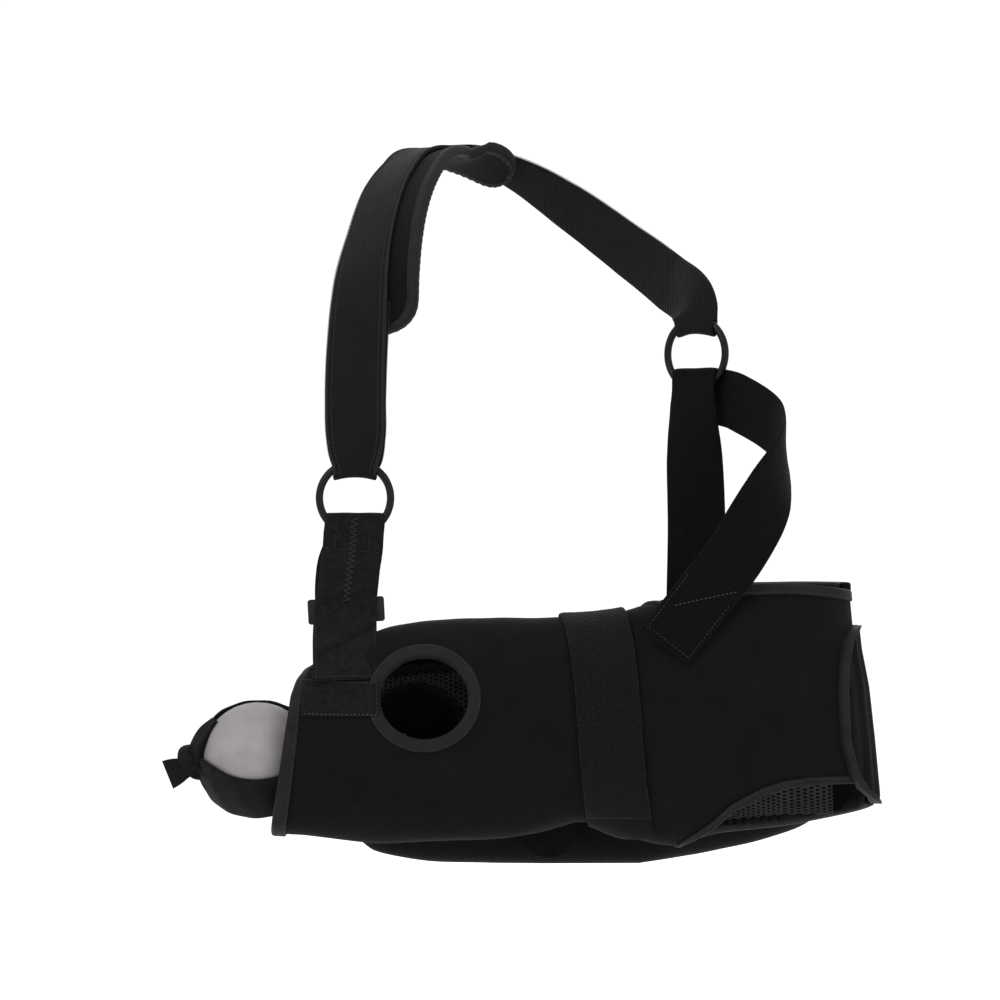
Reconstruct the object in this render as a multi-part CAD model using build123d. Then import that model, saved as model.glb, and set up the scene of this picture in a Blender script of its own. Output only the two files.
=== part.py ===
from build123d import *
import math
import os

# Arm sling for the left arm, in the shape that it takes when it is worn: a pouch for the
# forearm, a foam pillow behind it, a neck strap with a shoulder pad, two ring joints, a slide
# buckle, hook-and-loop closures and a tethered exercise ball for the hand.
#
# The pieces are drawn in the pouch's frame, in millimetres: X runs from the hand to the elbow,
# Y from the outer face to the wearer's body, Z up, and the origin is at the lower corner of the
# hand end. Each piece is then moved so that the part's origin is the shoulder seat, the point
# under the middle of the shoulder pad.

# ---------------------------------------------------------------- driving dimensions
WEBBING_WIDTH = 40.0
WEBBING_THICK = 2.4
FABRIC = 4.0            # thickness of the laminated shell fabric
LINING = 3.0            # thickness of the spacer mesh inside it
TAPE = 1.2              # thickness of one layer of edge binding
GAP = 0.4               # clearance between pieces that move on each other

POUCH_MIDDLE = 45.0     # Y of the pouch's middle plane
HAND_END_LOW = (-1.0, 5.0)
HAND_END_HIGH = (25.0, 120.0)

HAND_HOLE = (99.0, 99.0)          # X, Z of the middle of the hole in the outer panel
BODY_HOLE = (92.0, 74.0)          # the same on the panel next to the body
HOLE_RADII = (31.0, 29.0)
HOLE_BINDING = 8.5

RING_MIDDLE_RADIUS = 24.2
RING_WIRE_RADIUS = 2.6
FRONT_RING = Vector(51.4, 45.0, 233.4)
REAR_RING = Vector(287.0, 124.0, 334.0)
REAR_RING_NORMAL = Vector(0.6, 0.8, 0.0)

BALL = Vector(-15.0, 50.0, 55.7)
BALL_RADIUS = 38.0
BALL_BAND_TILT = 46.0             # degrees from the outward direction up to the band's axis
BALL_BAND_HALF = 17.0             # half the height of the band's zone on the ball
KNOT = Vector(-60.0, 47.0, 58.0)
TETHER_END = Vector(45.0, 72.0, 58.0)

SHOULDER_SEAT = Vector(100.0, 212.0, 474.5)

# The pouch's outer face is a sleeve closed over the forearm, whose top falls towards the hand,
# and an open bucket round the elbow. Both share the half depth.
POUCH_HALF_DEPTH = 43.0
POUCH_BOTTOM = -2.0
SLEEVE_STATIONS = [(-40.0, 2.0, 84.5), (72.0, -2.0, 147.0), (250.0, -2.0, 155.0)]   # X, low Z, high Z
SLEEVE_END = 250.0
ELBOW_END = 394.0
BUCKET_TOP = 230.0          # above the fabric, trimmed by the top edge
POUCH_ROUND = 42.0

PILLOW_LOW = Vector(38.0, 88.0, -21.0)
PILLOW_HIGH = Vector(388.0, 158.0, 131.0)
PILLOW_ROUND = 26.0
PILLOW_COVER = 2.0

TOP_EDGE = [(243.0, 157.0), (262.0, 163.0), (314.0, 174.0), (350.0, 176.0), (384.0, 170.0)]
CUT_OUT = [(268.0, -6.0), (294.0, 11.0), (307.0, 23.0), (328.0, 34.0), (352.0, 41.0), (392.0, 43.0)]
PAD_SHIFT = 9.0            # how far the pad sits towards the neck
FLAP_FOLD_Y = 56.0         # where the elbow flap leaves the fixed fabric behind it
BAND_TOP_X = 212.0
BAND_LOW_X = 230.0
BAND_LOWER_EDGE = 23.0

FRONT_LAYER = (POUCH_MIDDLE - 200.0, POUCH_MIDDLE)
BODY_LAYER = (POUCH_MIDDLE, POUCH_MIDDLE + 200.0)


# ---------------------------------------------------------------- helpers
def span_box(low, high):
    """A plain box between two corners."""
    size = high - low
    return Pos((low + high) * 0.5) * Box(size.X, size.Y, size.Z)


def sleeve(grow):
    """The closed part of the pouch's outer face, grown outward."""
    faces = []
    for x, low, high in SLEEVE_STATIONS:
        plane = Plane(origin=(x, POUCH_MIDDLE, (low + high) / 2), x_dir=(0, 1, 0), z_dir=(1, 0, 0))
        width = 2 * (POUCH_HALF_DEPTH + grow)
        height = high - low + 2 * grow
        rounding = min(POUCH_ROUND + grow, height / 2 - 1)
        faces.append(plane * RectangleRounded(width, height, rounding))
    return loft(faces[:2], ruled=True) + loft(faces[1:], ruled=True)


def bucket(grow):
    """The open part round the elbow, grown outward."""
    reach = Vector(0, POUCH_HALF_DEPTH + grow, 0)
    low = Vector(SLEEVE_END, POUCH_MIDDLE, POUCH_BOTTOM - grow) - reach
    high = Vector(ELBOW_END + grow, POUCH_MIDDLE, BUCKET_TOP) + reach
    body = span_box(low, high)
    upright = body.edges().filter_by(Axis.Z).group_by(Axis.X)[-1]
    body = fillet(upright, POUCH_ROUND + grow)
    underside = [edge for edge in body.faces().sort_by(Axis.Z)[0].edges() if edge.center().X > SLEEVE_END + 1]
    return fillet(underside, POUCH_ROUND + grow - 4)


def layer(inner, outer):
    """The skin of the pouch between two distances from its outer face."""
    return (sleeve(outer) - sleeve(inner)) + (bucket(outer) - bucket(inner))


def across(face_xz, span):
    """A face drawn in X and Z, extruded in Y over a span."""
    start, end = span
    return extrude(Pos(0, start, 0) * face_xz, amount=end - start, dir=(0, 1, 0))


def outline(points):
    """A straight-sided face in X and Z."""
    return Face(Wire.make_polygon([Vector(x, 0, z) for x, z in points], close=True))


def curve(points):
    """A smooth line through points given as X and Z."""
    return Edge.make_spline([Vector(x, 0, z) for x, z in points])


def ellipse_face(centre, radii, grow=0.0):
    return Plane.XZ * Pos(centre[0], centre[1]) * Ellipse(radii[0] + grow, radii[1] + grow)


def ribbon(route, thick=WEBBING_THICK, sink=0.0, slide=0.0, width=None):
    """A flat strap through (point, outward normal, width) stops.

    sink moves it inward along the normals, and slide moves it along its own width.
    """
    faces = []
    count = len(route)
    for index, (point, normal, stop_width) in enumerate(route):
        before = route[max(index - 1, 0)][0]
        after = route[min(index + 1, count - 1)][0]
        along = (Vector(*after) - Vector(*before)).normalized()
        side = along.cross(Vector(*normal)).normalized()
        out = side.cross(along).normalized()
        centre = Vector(*point) - out * sink + side * slide
        half = side * ((width or stop_width) / 2)
        rise = out * (thick / 2)
        corners = [centre + half + rise, centre - half + rise, centre - half - rise, centre + half - rise]
        faces.append(Face(Wire.make_polygon(corners, close=True)))
    return loft(faces, ruled=True)


def one_solid(shape):
    """The largest solid of a result, without slivers."""
    return max(shape.solids(), key=lambda solid: solid.volume)


# ---------------------------------------------------------------- trims shared by the layers
def hand_end_side(offset):
    """Everything on the arm's side of the hand end's slanted edge, moved along X."""
    (low_x, low_z), (high_x, high_z) = HAND_END_LOW, HAND_END_HIGH
    slope = (high_x - low_x) / (high_z - low_z)
    bottom = (low_x - 60 * slope + offset, low_z - 60)
    top = (high_x + 60 * slope + offset, high_z + 60)
    corner = [bottom, (600, bottom[1]), (600, top[1]), top]
    return across(outline(corner), (-200, 300))


def arm_opening(drop):
    """The space above the top edge, where the upper arm comes out, lowered by a drop."""
    edge = Wire([
        curve([(x, z - drop) for x, z in TOP_EDGE]),
        Edge.make_line((384, 0, 170 - drop), (460, 0, 160 - drop)),
        Edge.make_line((460, 0, 160 - drop), (460, 0, 260)),
        Edge.make_line((460, 0, 260), (243, 0, 260)),
        Edge.make_line((243, 0, 260), (243, 0, 157 - drop)),
    ])
    return across(Face(edge), (-200, 300))


def elbow_cut_out(lift):
    """The arch cut out of the outer panel under the elbow, raised by a lift."""
    edge = Wire([
        curve([(x, z + lift) for x, z in CUT_OUT]),
        Edge.make_line((392, 0, 43 + lift), (460, 0, 43 + lift)),
        Edge.make_line((460, 0, 43 + lift), (460, 0, -40)),
        Edge.make_line((460, 0, -40), (268, 0, -40)),
        Edge.make_line((268, 0, -40), (268, 0, -6 + lift)),
    ])
    return across(Face(edge), FRONT_LAYER)


def wrap_over_top():
    """Where the outer panel rolls over the forearm and comes down at the body side."""
    return across(outline([(-60, 80), (72, 116), (120, 128), (243, 130), (243, 230), (-60, 230)]), BODY_LAYER)


# ---------------------------------------------------------------- pouch
def outer_panel():
    skin = layer(-FABRIC, 0) & hand_end_side(0)
    front = skin & across(outline([(-60, -60), (460, -60), (460, 260), (-60, 260)]), FRONT_LAYER)
    shell = front + (skin & wrap_over_top())
    shell -= arm_opening(0)
    shell -= elbow_cut_out(0)
    shell -= across(ellipse_face(HAND_HOLE, HOLE_RADII, TAPE), FRONT_LAYER)
    return one_solid(shell)


def inner_panel():
    skin = layer(-FABRIC, 0) & hand_end_side(0)
    back = skin & across(outline([(-60, -60), (460, -60), (460, 260), (-60, 260)]), BODY_LAYER)
    back -= wrap_over_top()
    back -= arm_opening(0)
    back -= across(ellipse_face(BODY_HOLE, HOLE_RADII, TAPE), BODY_LAYER)
    return one_solid(back)


def lining(span, hole):
    skin = layer(-FABRIC - LINING, -FABRIC) & hand_end_side(6)
    half = skin & across(outline([(-60, -60), (460, -60), (460, 260), (-60, 260)]), span)
    half -= arm_opening(3)
    half -= across(ellipse_face(hole, HOLE_RADII, TAPE), span)
    if span is FRONT_LAYER:
        half -= elbow_cut_out(3)
    return one_solid(half)


def wrapped(region, panels):
    """Binding tape over an edge: the region's share of a fat skin, less the fabric in it."""
    tape = layer(-FABRIC - TAPE, TAPE) & region
    for panel in panels:
        tape -= panel
    return one_solid(tape)


def hand_end_binding(panels):
    return wrapped(hand_end_side(-TAPE) - hand_end_side(HOLE_BINDING), panels)


def hole_binding(hole, span, panels):
    ring = ellipse_face(hole, HOLE_RADII, HOLE_BINDING) - ellipse_face(hole, HOLE_RADII)
    return wrapped(across(ring, span), panels)


def top_edge_binding(span, panels):
    """Tape over the edge of the arm opening, on one side of the pouch."""
    reach = arm_opening(7) - arm_opening(-TAPE)
    side = across(outline([(256, 100), (460, 100), (460, 260), (256, 260)]), span)
    return wrapped(reach & side, panels)


def cut_out_binding(panels):
    reach = elbow_cut_out(6.5) - elbow_cut_out(-TAPE)
    side = across(outline([(270, -40), (372, -40), (372, 80), (270, 80)]), FRONT_LAYER)
    return wrapped(reach & side, panels)


def anchor_patch():
    """The band sewn across the outer panel from the hand end to the hole."""
    patch = outline([(19, 86), (67, 86), (67, 110), (24, 110)])
    return one_solid(layer(0, 1.6) & across(patch, FRONT_LAYER))


# ---------------------------------------------------------------- closures
def band_region(low, high):
    """The slanting strip that the closure band covers, between two heights."""
    slope = (BAND_LOW_X - BAND_TOP_X) / 160.0
    half = WEBBING_WIDTH / 2

    def middle(z):
        return BAND_LOW_X - slope * z

    corners = [(middle(low) - half, low), (middle(low) + half, low)]
    corners += [(middle(high) + half, high), (middle(high) - half, high)]
    return outline(corners)


def closure_band():
    return one_solid(layer(GAP, GAP + 2.6) & across(band_region(BAND_LOWER_EDGE, 200), (-60, 42)))


def closure_hook_tab():
    return one_solid(layer(GAP, GAP + 1.8) & across(band_region(-30, BAND_LOWER_EDGE), (-60, 40)))


def closure_band_back():
    """The part of the band that stays sewn on the body side of the pouch."""
    return one_solid(layer(0.1, 2.2) & across(band_region(60, 200), (43, 200)))


def flap_region(margin):
    """The outline of the elbow flap seen from the front, shrunk by a margin."""
    m = margin
    left = 377 + m
    corners = [(left, 138 - m), (left - 3, 108), (left - 3, 72), (left + 4, 48), (left + 12, 34)]
    corners += [(left + 20, 26 + m), (440, 18 + m), (440, 146 - m), (left + 8, 146 - m)]
    return outline(corners)


def elbow_flap_body():
    return layer(GAP, GAP + 3.2) & across(flap_region(0), (-60, FLAP_FOLD_Y))


def elbow_flap():
    return one_solid(elbow_flap_body() & across(flap_region(8), (-60, FLAP_FOLD_Y)))


def elbow_flap_binding():
    return one_solid(elbow_flap_body() - elbow_flap())


def elbow_wrap():
    """The fixed part of the same fabric, sewn to the body side of the pouch."""
    face = outline([(354, 18), (440, 18), (440, 146), (354, 146)])
    return one_solid(layer(0.1, GAP + 3.2) & across(face, (FLAP_FOLD_Y + 1.2, 140)))


# ---------------------------------------------------------------- rings, buckle and straps
def ring(centre, normal, grow=0.0):
    plane = Plane(origin=centre, z_dir=normal)
    return plane * Torus(RING_MIDDLE_RADIUS, RING_WIRE_RADIUS + grow)


def ring_room(centre, normal):
    """The ring with the clearance that the straps round it leave."""
    return ring(centre, normal, GAP + 0.1)


def ring_loop(centre, normal, low, high, half_width, half_depth=5.2):
    """The folded end of a strap round a ring, from one height to another."""
    plane = Plane(origin=centre, x_dir=Vector(0, 0, 1).cross(normal), z_dir=normal)
    block = Pos(0, (low + high) / 2, 0) * Box(2 * half_width, high - low, 2 * half_depth)
    return plane * block - ring_room(centre, normal)


def slide_buckle():
    """A tri-glide: a flat frame with two slots and a bar between them."""
    frame = Box(52, 3.2, 17)
    for side in (1, -1):
        frame -= Pos(0, 0, side * 3.6) * Box(39.6, 4, 4.6)
    corners = [edge for edge in frame.edges().filter_by(Axis.Y) if abs(edge.center().X) > 25]
    frame = fillet(corners, 2.0)
    return Pos(45.5, 42.6, 157.0) * Rot(0, -3.0, 0) * frame


NECK_FRONT = [
    ((51.4, 41.0, 262.0), (0, -1, 0), 34.0),
    ((51.3, 42.0, 275.0), (0, -1, 0), 40.0),
    ((50.9, 47.0, 300.0), (0, -1, 0.1), 40.0),
    ((52.1, 62.0, 348.0), (-0.15, -0.95, 0.2), 40.0),
    ((53.2, 71.5, 368.0), (-0.25, -0.88, 0.32), 40.0),
    ((54.3, 81.0, 384.0), (-0.35, -0.8, 0.45), 40.0),
    ((60.0, 108.0, 418.0), (-0.5, -0.55, 0.66), 40.0),
    ((71.0, 146.0, 455.0), (-0.45, -0.3, 0.83), 40.0),
    ((84.0, 180.0, 475.0), (-0.3, -0.05, 0.93), 40.0),
    ((100.0, 212.0, 484.0), (0, 0, 1), 40.0),
]
NECK_BACK = [
    ((126.0, 232.0, 482.0), (0.15, 0.25, 0.95), 40.0),
    ((160.0, 236.0, 468.0), (0.5, 0.5, 0.7), 40.0),
    ((200.0, 220.0, 442.0), (0.7, 0.65, 0.3), 40.0),
    ((238.0, 190.0, 412.0), (0.72, 0.68, 0.1), 40.0),
    ((268.0, 156.0, 386.0), (0.66, 0.74, 0.0), 40.0),
    ((284.5, 128.0, 366.0), (0.6, 0.8, 0.0), 34.0),
]
REAR_OUTER_ROUTE = [
    ((262.0, 0.6, 136.0), (0, -1, 0), 40.0),
    ((290.0, -0.9, 172.0), (0, -1, 0), 40.0),
    ((311.0, -0.6, 206.0), (0, -1, 0), 40.0),
    ((330.0, 8.0, 238.0), (0.5, -0.85, 0), 40.0),
    ((343.0, 34.0, 262.0), (0.95, -0.3, 0), 40.0),
    ((338.0, 70.0, 282.0), (0.9, 0.45, 0), 40.0),
    ((314.0, 104.0, 300.0), (0.7, 0.72, 0), 40.0),
    ((291.0, 126.8, 299.0), (0.6, 0.8, 0), 36.0),
]
REAR_INNER_ROUTE = [
    ((284.0, 89.4, 128.0), (0, 1, 0), 40.0),
    ((285.0, 91.0, 172.0), (0, 1, 0), 40.0),
    ((286.0, 99.0, 215.0), (0.1, 1, 0), 40.0),
    ((285.0, 108.0, 262.0), (0.3, 0.95, 0), 40.0),
    ((283.0, 117.0, 297.0), (0.6, 0.8, 0), 38.0),
]
FRONT_LEG_ROUTE = [
    ((46.5, 0.7, 100.0), (0, -1, 0), 44.0),
    ((46.5, 2.4, 116.0), (0, -1, 0.3), 44.0),
    ((46.3, 17.0, 135.0), (0, -0.7, 0.7), 43.0),
    ((45.8, 34.0, 147.0), (0, -0.7, 0.7), 41.0),
]
INNER_LEG_ROUTE = [
    ((44.0, 89.3, 104.0), (0, 1, 0), 40.0),
    ((44.2, 87.6, 116.0), (0, 1, 0.3), 40.0),
    ((45.0, 71.0, 137.0), (0, 0.7, 0.7), 40.0),
    ((45.4, 52.0, 149.5), (0, 0.6, 0.8), 40.0),
]
ADJUSTER_ROUTE = [
    ((51.2, 46.2, 200.0), (0, -1, 0), 40.0),
    ((48.0, 46.2, 172.0), (0, -1, 0), 40.0),
    ((45.7, 46.2, 151.0), (0, -1, 0), 40.0),
]


def neck_strap():
    """One length of webbing over the shoulder, folded round a ring at each end."""
    strap = ribbon(NECK_FRONT + NECK_BACK)
    front_loop = ring_loop(FRONT_RING, Vector(0, -1, 0), 13.6, 29.2, 16.5)
    rear_loop = ring_loop(REAR_RING, REAR_RING_NORMAL, 13.6, 33.0, 16.5)
    strap = strap + front_loop + rear_loop
    return one_solid(strap - ring_room(FRONT_RING, Vector(0, -1, 0)) - ring_room(REAR_RING, REAR_RING_NORMAL))


def neck_strap_end():
    """The strap's free end, folded back behind its front run."""
    run = [(point, normal, 39.0) for point, normal, width in NECK_FRONT[1:5]]
    return ribbon(run, thick=2.0, sink=2.4)


def shoulder_pad_route():
    """The pad's own stops: it starts behind the folded-back end and then follows the strap."""
    route = []
    for index, (point, normal, width) in enumerate(NECK_FRONT[3:] + NECK_BACK[:2]):
        depth = 8.4 if index < 2 else 6.0
        inward = Vector(*normal).normalized() * depth
        route.append((tuple(Vector(*point) - inward), normal, width))
    return route


def shoulder_pad():
    return ribbon(shoulder_pad_route(), thick=7.0, slide=PAD_SHIFT, width=56.0)


def shoulder_pad_binding(pad):
    """Tape round the pad's two long edges."""
    rim = ribbon(shoulder_pad_route(), thick=8.0, slide=PAD_SHIFT, width=62.0)
    return rim - ribbon(shoulder_pad_route(), thick=12.0, slide=PAD_SHIFT, width=50.0) - pad


def adjuster_strap():
    loop = ring_loop(FRONT_RING, Vector(0, -1, 0), -34.0, -10.4, 20.0)
    return one_solid(ribbon(ADJUSTER_ROUTE) + loop)


def rear_outer_leg(binding):
    loop = ring_loop(REAR_RING, REAR_RING_NORMAL, -35.0, -11.0, 18.0)
    strap = ribbon(REAR_OUTER_ROUTE)
    return one_solid(strap + loop - ring_room(REAR_RING, REAR_RING_NORMAL) - binding)


def rear_inner_leg(outer_leg, binding):
    return one_solid(ribbon(REAR_INNER_ROUTE) - outer_leg - binding)


# ---------------------------------------------------------------- pillow
def pillow_body(grow):
    edge = Vector(grow, grow, grow)
    body = span_box(PILLOW_LOW - edge, PILLOW_HIGH + edge)
    body = fillet(body.edges(), PILLOW_ROUND + grow)
    return body - sleeve(3.3 - grow) - bucket(4.4 - grow)


def pillow_cover(core):
    return one_solid(pillow_body(0)) - core


def pillow_strip(inner, outer):
    """One of the two facing strips of hook-and-loop between pouch and pillow."""
    face = outline([(150, 45), (190, 45), (190, 95), (150, 95)])
    return one_solid(layer(inner, outer) & across(face, (70, 140)))


# ---------------------------------------------------------------- exercise ball
def band_plane():
    tilt = math.radians(BALL_BAND_TILT)
    return Plane(origin=BALL, x_dir=(1, 0, 0), z_dir=(0, -math.cos(tilt), math.sin(tilt)))


def ball_strap():
    """The webbing round the ball, as a zone of a hollow sphere."""
    zone = Sphere(BALL_RADIUS + GAP + 2.2) - Sphere(BALL_RADIUS + GAP)
    zone &= Cylinder(BALL_RADIUS + 10, 2 * BALL_BAND_HALF)
    return band_plane() * zone


def knot_body():
    body = Box(15, 17, 27)
    body = fillet(body.edges(), 5.0)
    return Pos(KNOT) * Rot(0, 12, 0) * body


def ball_knot():
    """The knot that closes the webbing, at the far side of the ball from the pouch."""
    return one_solid(knot_body() - Pos(BALL) * Sphere(BALL_RADIUS + GAP + 2.2))


def ball_strap_tail():
    route = [
        ((-63.0, 44.0, 53.0), (0, -1, 0), 13.0),
        ((-70.0, 42.0, 50.0), (0, -1, 0), 17.0),
        ((-77.0, 40.0, 47.5), (0, -1, 0), 19.0),
    ]
    return one_solid(ribbon(route) - knot_body())


def ball_tether():
    """The strap's lead from the ball to its anchor inside the pouch."""
    start = BALL + Vector(BALL_RADIUS + GAP + 1.0, 0, 0)
    route = [
        (tuple(start), (-0.7, 0.7, 0), 22.0),
        (tuple((start + TETHER_END) * 0.5), (-0.7, 0.7, 0), 22.0),
        (tuple(TETHER_END), (-0.7, 0.7, 0), 22.0),
    ]
    return ribbon(route) - Pos(BALL) * Sphere(BALL_RADIUS + GAP + 2.2)


def band_end_tab():
    """The rounded end of the band that hangs under the pouch, in front of the pillow."""
    half_disc = Pos(184, 0, 2) * (Plane.XZ * Circle(19)) & outline([(160, -20), (210, -20), (210, 2), (160, 2)])
    upper = outline([(165, 2), (203, 2), (203, 13), (165, 13)])
    return across(half_disc + upper, (80, 81.6)) - sleeve(0)


def tether_anchor():
    face = outline([(48, 46), (72, 46), (72, 70), (48, 70)])
    return one_solid(layer(-FABRIC - LINING - 2.4, -FABRIC - LINING) & across(face, (60, 140)))


# ---------------------------------------------------------------- everything together
def make_parts():
    parts = {}
    parts["outer_panel"] = outer_panel()
    parts["inner_panel"] = inner_panel()
    parts["outer_mesh_lining"] = lining(FRONT_LAYER, HAND_HOLE)
    parts["inner_mesh_lining"] = lining(BODY_LAYER, BODY_HOLE)
    pouch = list(parts.values())
    parts["hand_end_binding"] = hand_end_binding(pouch)
    parts["outer_hole_binding"] = hole_binding(HAND_HOLE, FRONT_LAYER, pouch)
    parts["inner_hole_binding"] = hole_binding(BODY_HOLE, BODY_LAYER, pouch)
    parts["outer_top_binding"] = top_edge_binding(FRONT_LAYER, pouch)
    parts["inner_top_binding"] = top_edge_binding(BODY_LAYER, pouch)
    parts["elbow_cut_out_binding"] = cut_out_binding(pouch)
    parts["anchor_patch"] = anchor_patch() - parts["outer_hole_binding"] - parts["hand_end_binding"]

    parts["closure_band"] = closure_band()
    parts["closure_hook_tab"] = closure_hook_tab()
    parts["closure_band_back"] = closure_band_back()
    parts["band_end_tab"] = band_end_tab()
    parts["elbow_flap"] = elbow_flap()
    parts["elbow_flap_binding"] = elbow_flap_binding()
    parts["elbow_wrap"] = elbow_wrap()

    parts["front_ring"] = ring(FRONT_RING, Vector(0, -1, 0))
    parts["rear_ring"] = ring(REAR_RING, REAR_RING_NORMAL)
    parts["slide_buckle"] = slide_buckle()
    parts["adjuster_strap"] = adjuster_strap()
    parts["front_outer_leg"] = one_solid(ribbon(FRONT_LEG_ROUTE) - sleeve(1.7))
    parts["front_inner_leg"] = one_solid(ribbon(INNER_LEG_ROUTE) - sleeve(0.1))
    parts["rear_outer_leg"] = rear_outer_leg(parts["outer_top_binding"])
    parts["rear_inner_leg"] = rear_inner_leg(parts["rear_outer_leg"], parts["inner_top_binding"])
    parts["neck_strap"] = neck_strap()
    parts["neck_strap_end"] = neck_strap_end()
    parts["shoulder_pad"] = shoulder_pad()
    parts["shoulder_pad_binding"] = shoulder_pad_binding(parts["shoulder_pad"])

    core = one_solid(pillow_body(-PILLOW_COVER))
    parts["pillow_core"] = core
    parts["pillow_cover"] = pillow_cover(core)
    parts["pillow_loop_strip"] = pillow_strip(0.0, 1.3)
    parts["pillow_hook_strip"] = pillow_strip(1.3, 2.7)

    parts["exercise_ball"] = Pos(BALL) * Sphere(BALL_RADIUS)
    parts["ball_strap"] = ball_strap()
    parts["ball_knot"] = ball_knot()
    parts["ball_strap_tail"] = ball_strap_tail()
    parts["ball_tether"] = ball_tether()
    parts["tether_anchor"] = tether_anchor()
    return parts


if __name__ == "__main__":
    os.makedirs("parts", exist_ok=True)
    for name, shape in make_parts().items():
        export_step(Pos(-SHOULDER_SEAT) * shape, f"parts/{name}.step")
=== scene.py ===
import math

import bmesh
import bpy
import numpy as np
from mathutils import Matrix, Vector, noise


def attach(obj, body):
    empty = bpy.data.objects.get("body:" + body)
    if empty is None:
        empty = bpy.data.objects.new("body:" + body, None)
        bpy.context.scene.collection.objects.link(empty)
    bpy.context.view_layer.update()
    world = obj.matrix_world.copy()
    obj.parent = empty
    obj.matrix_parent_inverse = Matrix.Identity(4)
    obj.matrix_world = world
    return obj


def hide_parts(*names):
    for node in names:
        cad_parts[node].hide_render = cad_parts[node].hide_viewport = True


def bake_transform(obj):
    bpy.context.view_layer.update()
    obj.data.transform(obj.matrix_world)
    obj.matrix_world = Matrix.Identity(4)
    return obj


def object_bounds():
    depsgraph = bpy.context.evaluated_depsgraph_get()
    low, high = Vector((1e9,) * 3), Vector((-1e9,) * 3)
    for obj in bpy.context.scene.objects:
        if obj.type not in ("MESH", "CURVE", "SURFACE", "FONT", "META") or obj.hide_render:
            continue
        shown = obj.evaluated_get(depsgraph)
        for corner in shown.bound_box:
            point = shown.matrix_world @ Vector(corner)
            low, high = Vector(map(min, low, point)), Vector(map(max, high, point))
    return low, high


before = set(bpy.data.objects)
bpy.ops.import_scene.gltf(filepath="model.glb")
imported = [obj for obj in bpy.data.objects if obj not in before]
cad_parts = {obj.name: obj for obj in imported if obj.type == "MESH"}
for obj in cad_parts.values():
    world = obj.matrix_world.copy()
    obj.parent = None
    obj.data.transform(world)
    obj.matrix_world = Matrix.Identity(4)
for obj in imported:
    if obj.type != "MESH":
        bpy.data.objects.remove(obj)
cad_low, cad_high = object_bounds()

# Shapes are worked out in the pouch's own frame, in millimetres: X from the hand to the elbow,
# Y from the outer face to the wearer's body, Z up, with the origin at the hand end's lower
# corner. row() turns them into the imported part's frame, in metres.
SHOULDER_SEAT = np.array([100.0, 212.0, 474.5])
MIDDLE = 45.0
FABRIC = 4.0
LINING = 2.6
HAND_HOLE = (99.0, 99.0)
BODY_HOLE = (92.0, 74.0)
HOLE_RADII = (31.0, 29.0)
TAPE_WIDTH = 8.4
TAPE_PUCKER = 0.12
FRONT_RING = (51.4, 45.0, 233.4)
REAR_RING = (287.0, 124.0, 334.0)
RING_RADIUS = 24.2
WIRE_RADIUS = 2.6
BALL = (-15.0, 50.0, 55.7)
BALL_RADIUS = 38.4
BAND_TILT = math.radians(46.0)
KNOT = (-59.5, 47.0, 58.0)

SECTION_POWER = 2.5
ELBOW_START = 343.0
ELBOW_REACH = 42.0


def row(points):
    return (np.asarray(points, float) - SHOULDER_SEAT) / 1000.0


def node_at(corner):
    return tuple(float(v) for v in row(corner))


# ---------------------------------------------------------------- camera, light and backdrop
def make_camera():
    data = bpy.data.cameras.new("camera")
    data.sensor_width = 36.0
    data.lens = 36.0 * 3000.0 / 670.0
    data.clip_end = 50.0
    camera = bpy.data.objects.new("camera", data)
    bpy.context.scene.collection.objects.link(camera)
    camera.location = node_at((150.0, -3000.0, 232.0))
    camera.rotation_euler = (math.radians(90.0), 0.0, 0.0)
    bpy.context.scene.camera = camera
    bpy.context.scene.view_settings.view_transform = "Standard"


def area_light(name, place, target, size, power):
    data = bpy.data.lights.new(name, "AREA")
    data.energy = power
    data.size = size
    light = bpy.data.objects.new(name, data)
    bpy.context.scene.collection.objects.link(light)
    light.location = place
    aim = Vector(target) - Vector(place)
    light.rotation_euler = aim.to_track_quat("-Z", "Y").to_euler()


def make_studio():
    centre = node_at((180.0, 60.0, 150.0))
    area_light("key", (centre[0] - 1.6, centre[1] - 2.0, centre[2] + 1.6), centre, 1.4, 42.0)
    area_light("fill", (centre[0] + 2.0, centre[1] - 1.8, centre[2] + 0.6), centre, 1.8, 20.0)
    area_light("top", (centre[0], centre[1] + 0.2, centre[2] + 2.2), centre, 1.4, 20.0)
    area_light("rim", (centre[0] + 0.6, centre[1] + 2.2, centre[2] + 1.2), centre, 1.4, 14.0)
    world = bpy.data.worlds.new("studio")
    bpy.context.scene.world = world
    world.use_nodes = True
    background = world.node_tree.nodes["Background"]
    background.inputs["Color"].default_value = (1.0, 1.0, 1.0, 1.0)
    background.inputs["Strength"].default_value = 1.06
    floor_z = cad_low.z - 0.16
    mesh = bpy.data.meshes.new("floor")
    corners = [(x, y, floor_z) for x, y in ((-9, -9), (9, -9), (9, 9), (-9, 9))]
    mesh.from_pydata(corners, [], [(0, 1, 2, 3)])
    floor = bpy.data.objects.new("floor", mesh)
    bpy.context.scene.collection.objects.link(floor)
    material = bpy.data.materials.new("pale_floor")
    material.use_nodes = True
    shader = material.node_tree.nodes["Principled BSDF"]
    shader.inputs["Base Color"].default_value = (0.98, 0.98, 0.98, 1.0)
    shader.inputs["Roughness"].default_value = 0.9
    mesh.materials.append(material)


# ---------------------------------------------------------------- materials
def add_node(tree, kind, **values):
    node = tree.nodes.new(kind)
    for key, value in values.items():
        if key in node.inputs:
            node.inputs[key].default_value = value
        else:
            setattr(node, key, value)
    return node


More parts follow.
